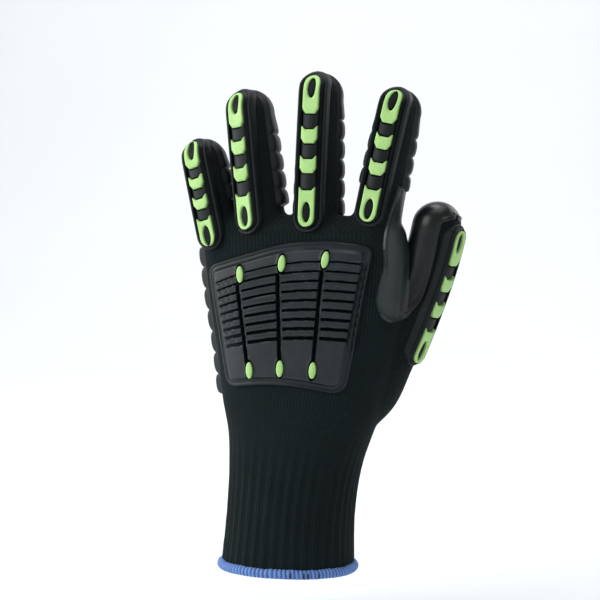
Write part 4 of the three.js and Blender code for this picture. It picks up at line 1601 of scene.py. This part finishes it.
@dataclass
class Studio:
    """A plain pale sweep, soft lights and the photograph's camera."""

    distance: float = 1.1
    azimuth: float = 18
    elevation: float = 5
    lens: float = 124.18
    target: tuple[float, float, float] = (0.00609, 0.00198, 0.1446)

    def build(self) -> None:
        """Adds the floor, the lights, the sky and the camera."""
        self._floor()
        self._light("key", (-0.95, -0.85, 0.8), 1.0, 10.5, self.target)
        self._light("fill", (0.9, -0.9, 0.5), 1.0, 2, self.target)
        self._light("top", (0.0, 0.1, 1.2), 0.9, 3.5, self.target)
        self._light("rim", (0.6, 0.8, 0.6), 0.8, 3, self.target)
        self._light("side", (-1.1, -0.25, 0.35), 0.5, 5, self.target)
        self._light("backdrop", (-0.5, 0.5, 1.5), 1.2, 15, (-0.5, 1.6, 0.3))
        scene = bpy.context.scene
        scene.view_settings.view_transform = "Standard"
        world = bpy.data.worlds.new("studio")
        world.use_nodes = True
        world.node_tree.nodes["Background"].inputs["Color"].default_value = colour("f4f6f8")
        world.node_tree.nodes["Background"].inputs["Strength"].default_value = 0.33
        scene.world = world
        self._camera()

    def _floor(self) -> None:
        """A floor that sweeps up into a backdrop."""
        start_fresh()
        bpy.ops.mesh.primitive_grid_add(x_subdivisions=2, y_subdivisions=60, size=1, location=(0, 0, 0))
        floor = bpy.context.object
        floor.name = "studio_sweep"
        flat = coordinates(floor)
        run = (flat[:, 1] + 0.5) * 5.2 - 2.2
        bend, radius = 0.9, 0.8
        turn = np.clip((run - bend) / radius, 0, math.pi / 2)
        depth = np.where(run < bend, run, bend + radius * np.sin(turn))
        rise = np.where(run < bend, 0, radius * (1 - np.cos(turn)))
        rise = rise + np.maximum(0, run - bend - radius * math.pi / 2)
        put(floor, np.stack([flat[:, 0] * 5, depth, rise - 0.03], -1) / MM)
        bpy.ops.object.shade_smooth()
        material, tree, shader = new_material("studio_paper")
        feed(tree, shader, {"Base Color": blend(tree, noise(tree, 3), "e6eaed", "eef1f3"), "Roughness": 0.9})
        floor.data.materials.append(material)

    @staticmethod
    def _light(name: str, place: tuple[float, ...], size: float, power: float, at: tuple[float, ...]) -> None:
        """Adds one soft square light at a place, aimed at a point.

        Args:
            name: its name.
            place: where it stands, in metres.
            size: its side in metres.
            power: its power in watts.
            at: the point that it faces.
        """
        start_fresh()
        bpy.ops.object.light_add(type="AREA", location=place)
        light = bpy.context.object
        light.name = f"light_{name}"
        light.data.size = size
        light.data.energy = power
        aim = Vector(at) - Vector(place)
        light.rotation_euler = aim.to_track_quat("-Z", "Y").to_euler()

    def _camera(self) -> None:
        """Adds the camera at the photograph's angle."""
        start_fresh()
        turn, rise = math.radians(self.azimuth), math.radians(self.elevation)
        away = Vector((math.sin(turn) * math.cos(rise), -math.cos(turn) * math.cos(rise), math.sin(rise)))
        target = Vector(self.target)
        bpy.ops.object.camera_add(location=target + away * self.distance)
        camera = bpy.context.object
        camera.rotation_euler = (-away).to_track_quat("-Z", "Y").to_euler()
        camera.data.lens = self.lens
        camera.data.sensor_width = 36
        camera.data.dof.use_dof = False
        bpy.context.scene.camera = camera


def main() -> None:
    """Builds the glove piece by piece and sets up the studio."""
    logging.basicConfig(level=logging.INFO, format="%(name)s: %(message)s", force=True)
    Studio().build()
    knit = KnitYarn().material()
    grey, black, lime, foam = (
        rubber.material() for rubber in (PLATE_RUBBER, GUARD_RUBBER, LIME_RUBBER, FOAM_COATING)
    )
    stalls = [f"knit_{digit.name}" for digit in DIGITS]
    shell = KnitShell()
    dress(shell.build(), knit, Slot.KNIT, "knit_cuff", "knit_palm", *stalls)
    dress(Hem().build(), HemYarn().material(), Slot.HEM, "cuff_hem")
    plate = KnucklePlate()
    dress(plate.build(), grey, Slot.MOULDED, "knuckle_plate")
    for number in range(len(plate.studs())):
        dress(plate.build_stud(number), lime, Slot.LIME, f"knuckle_stud_{number + 1}")
    for digit in DIGITS:
        guard = Guard(digit, width=14.6 if digit is THUMB else 16)
        dress(guard.build(), black, Slot.MOULDED, f"guard_{digit.name}")
        for insert in INSERTS:
            dress(guard.build_insert(insert), lime, Slot.LIME, f"insert_{digit.name}_{insert.name}")
    coats = Coats()
    for digit in FINGERS:
        dress(coats.finger(digit), foam, Slot.COATING, f"coat_{digit.name}")
    dress(coats.thumb(), THUMB_COATING.material(), Slot.COATING, "coat_thumb")
    dress(coats.palm(), foam, Slot.COATING, "coat_palm")
    dress(coats.leaf(shell.surface), LEAF_COATING.material(), Slot.COATING, "coat_web")


if __name__ == "__main__":
    main()
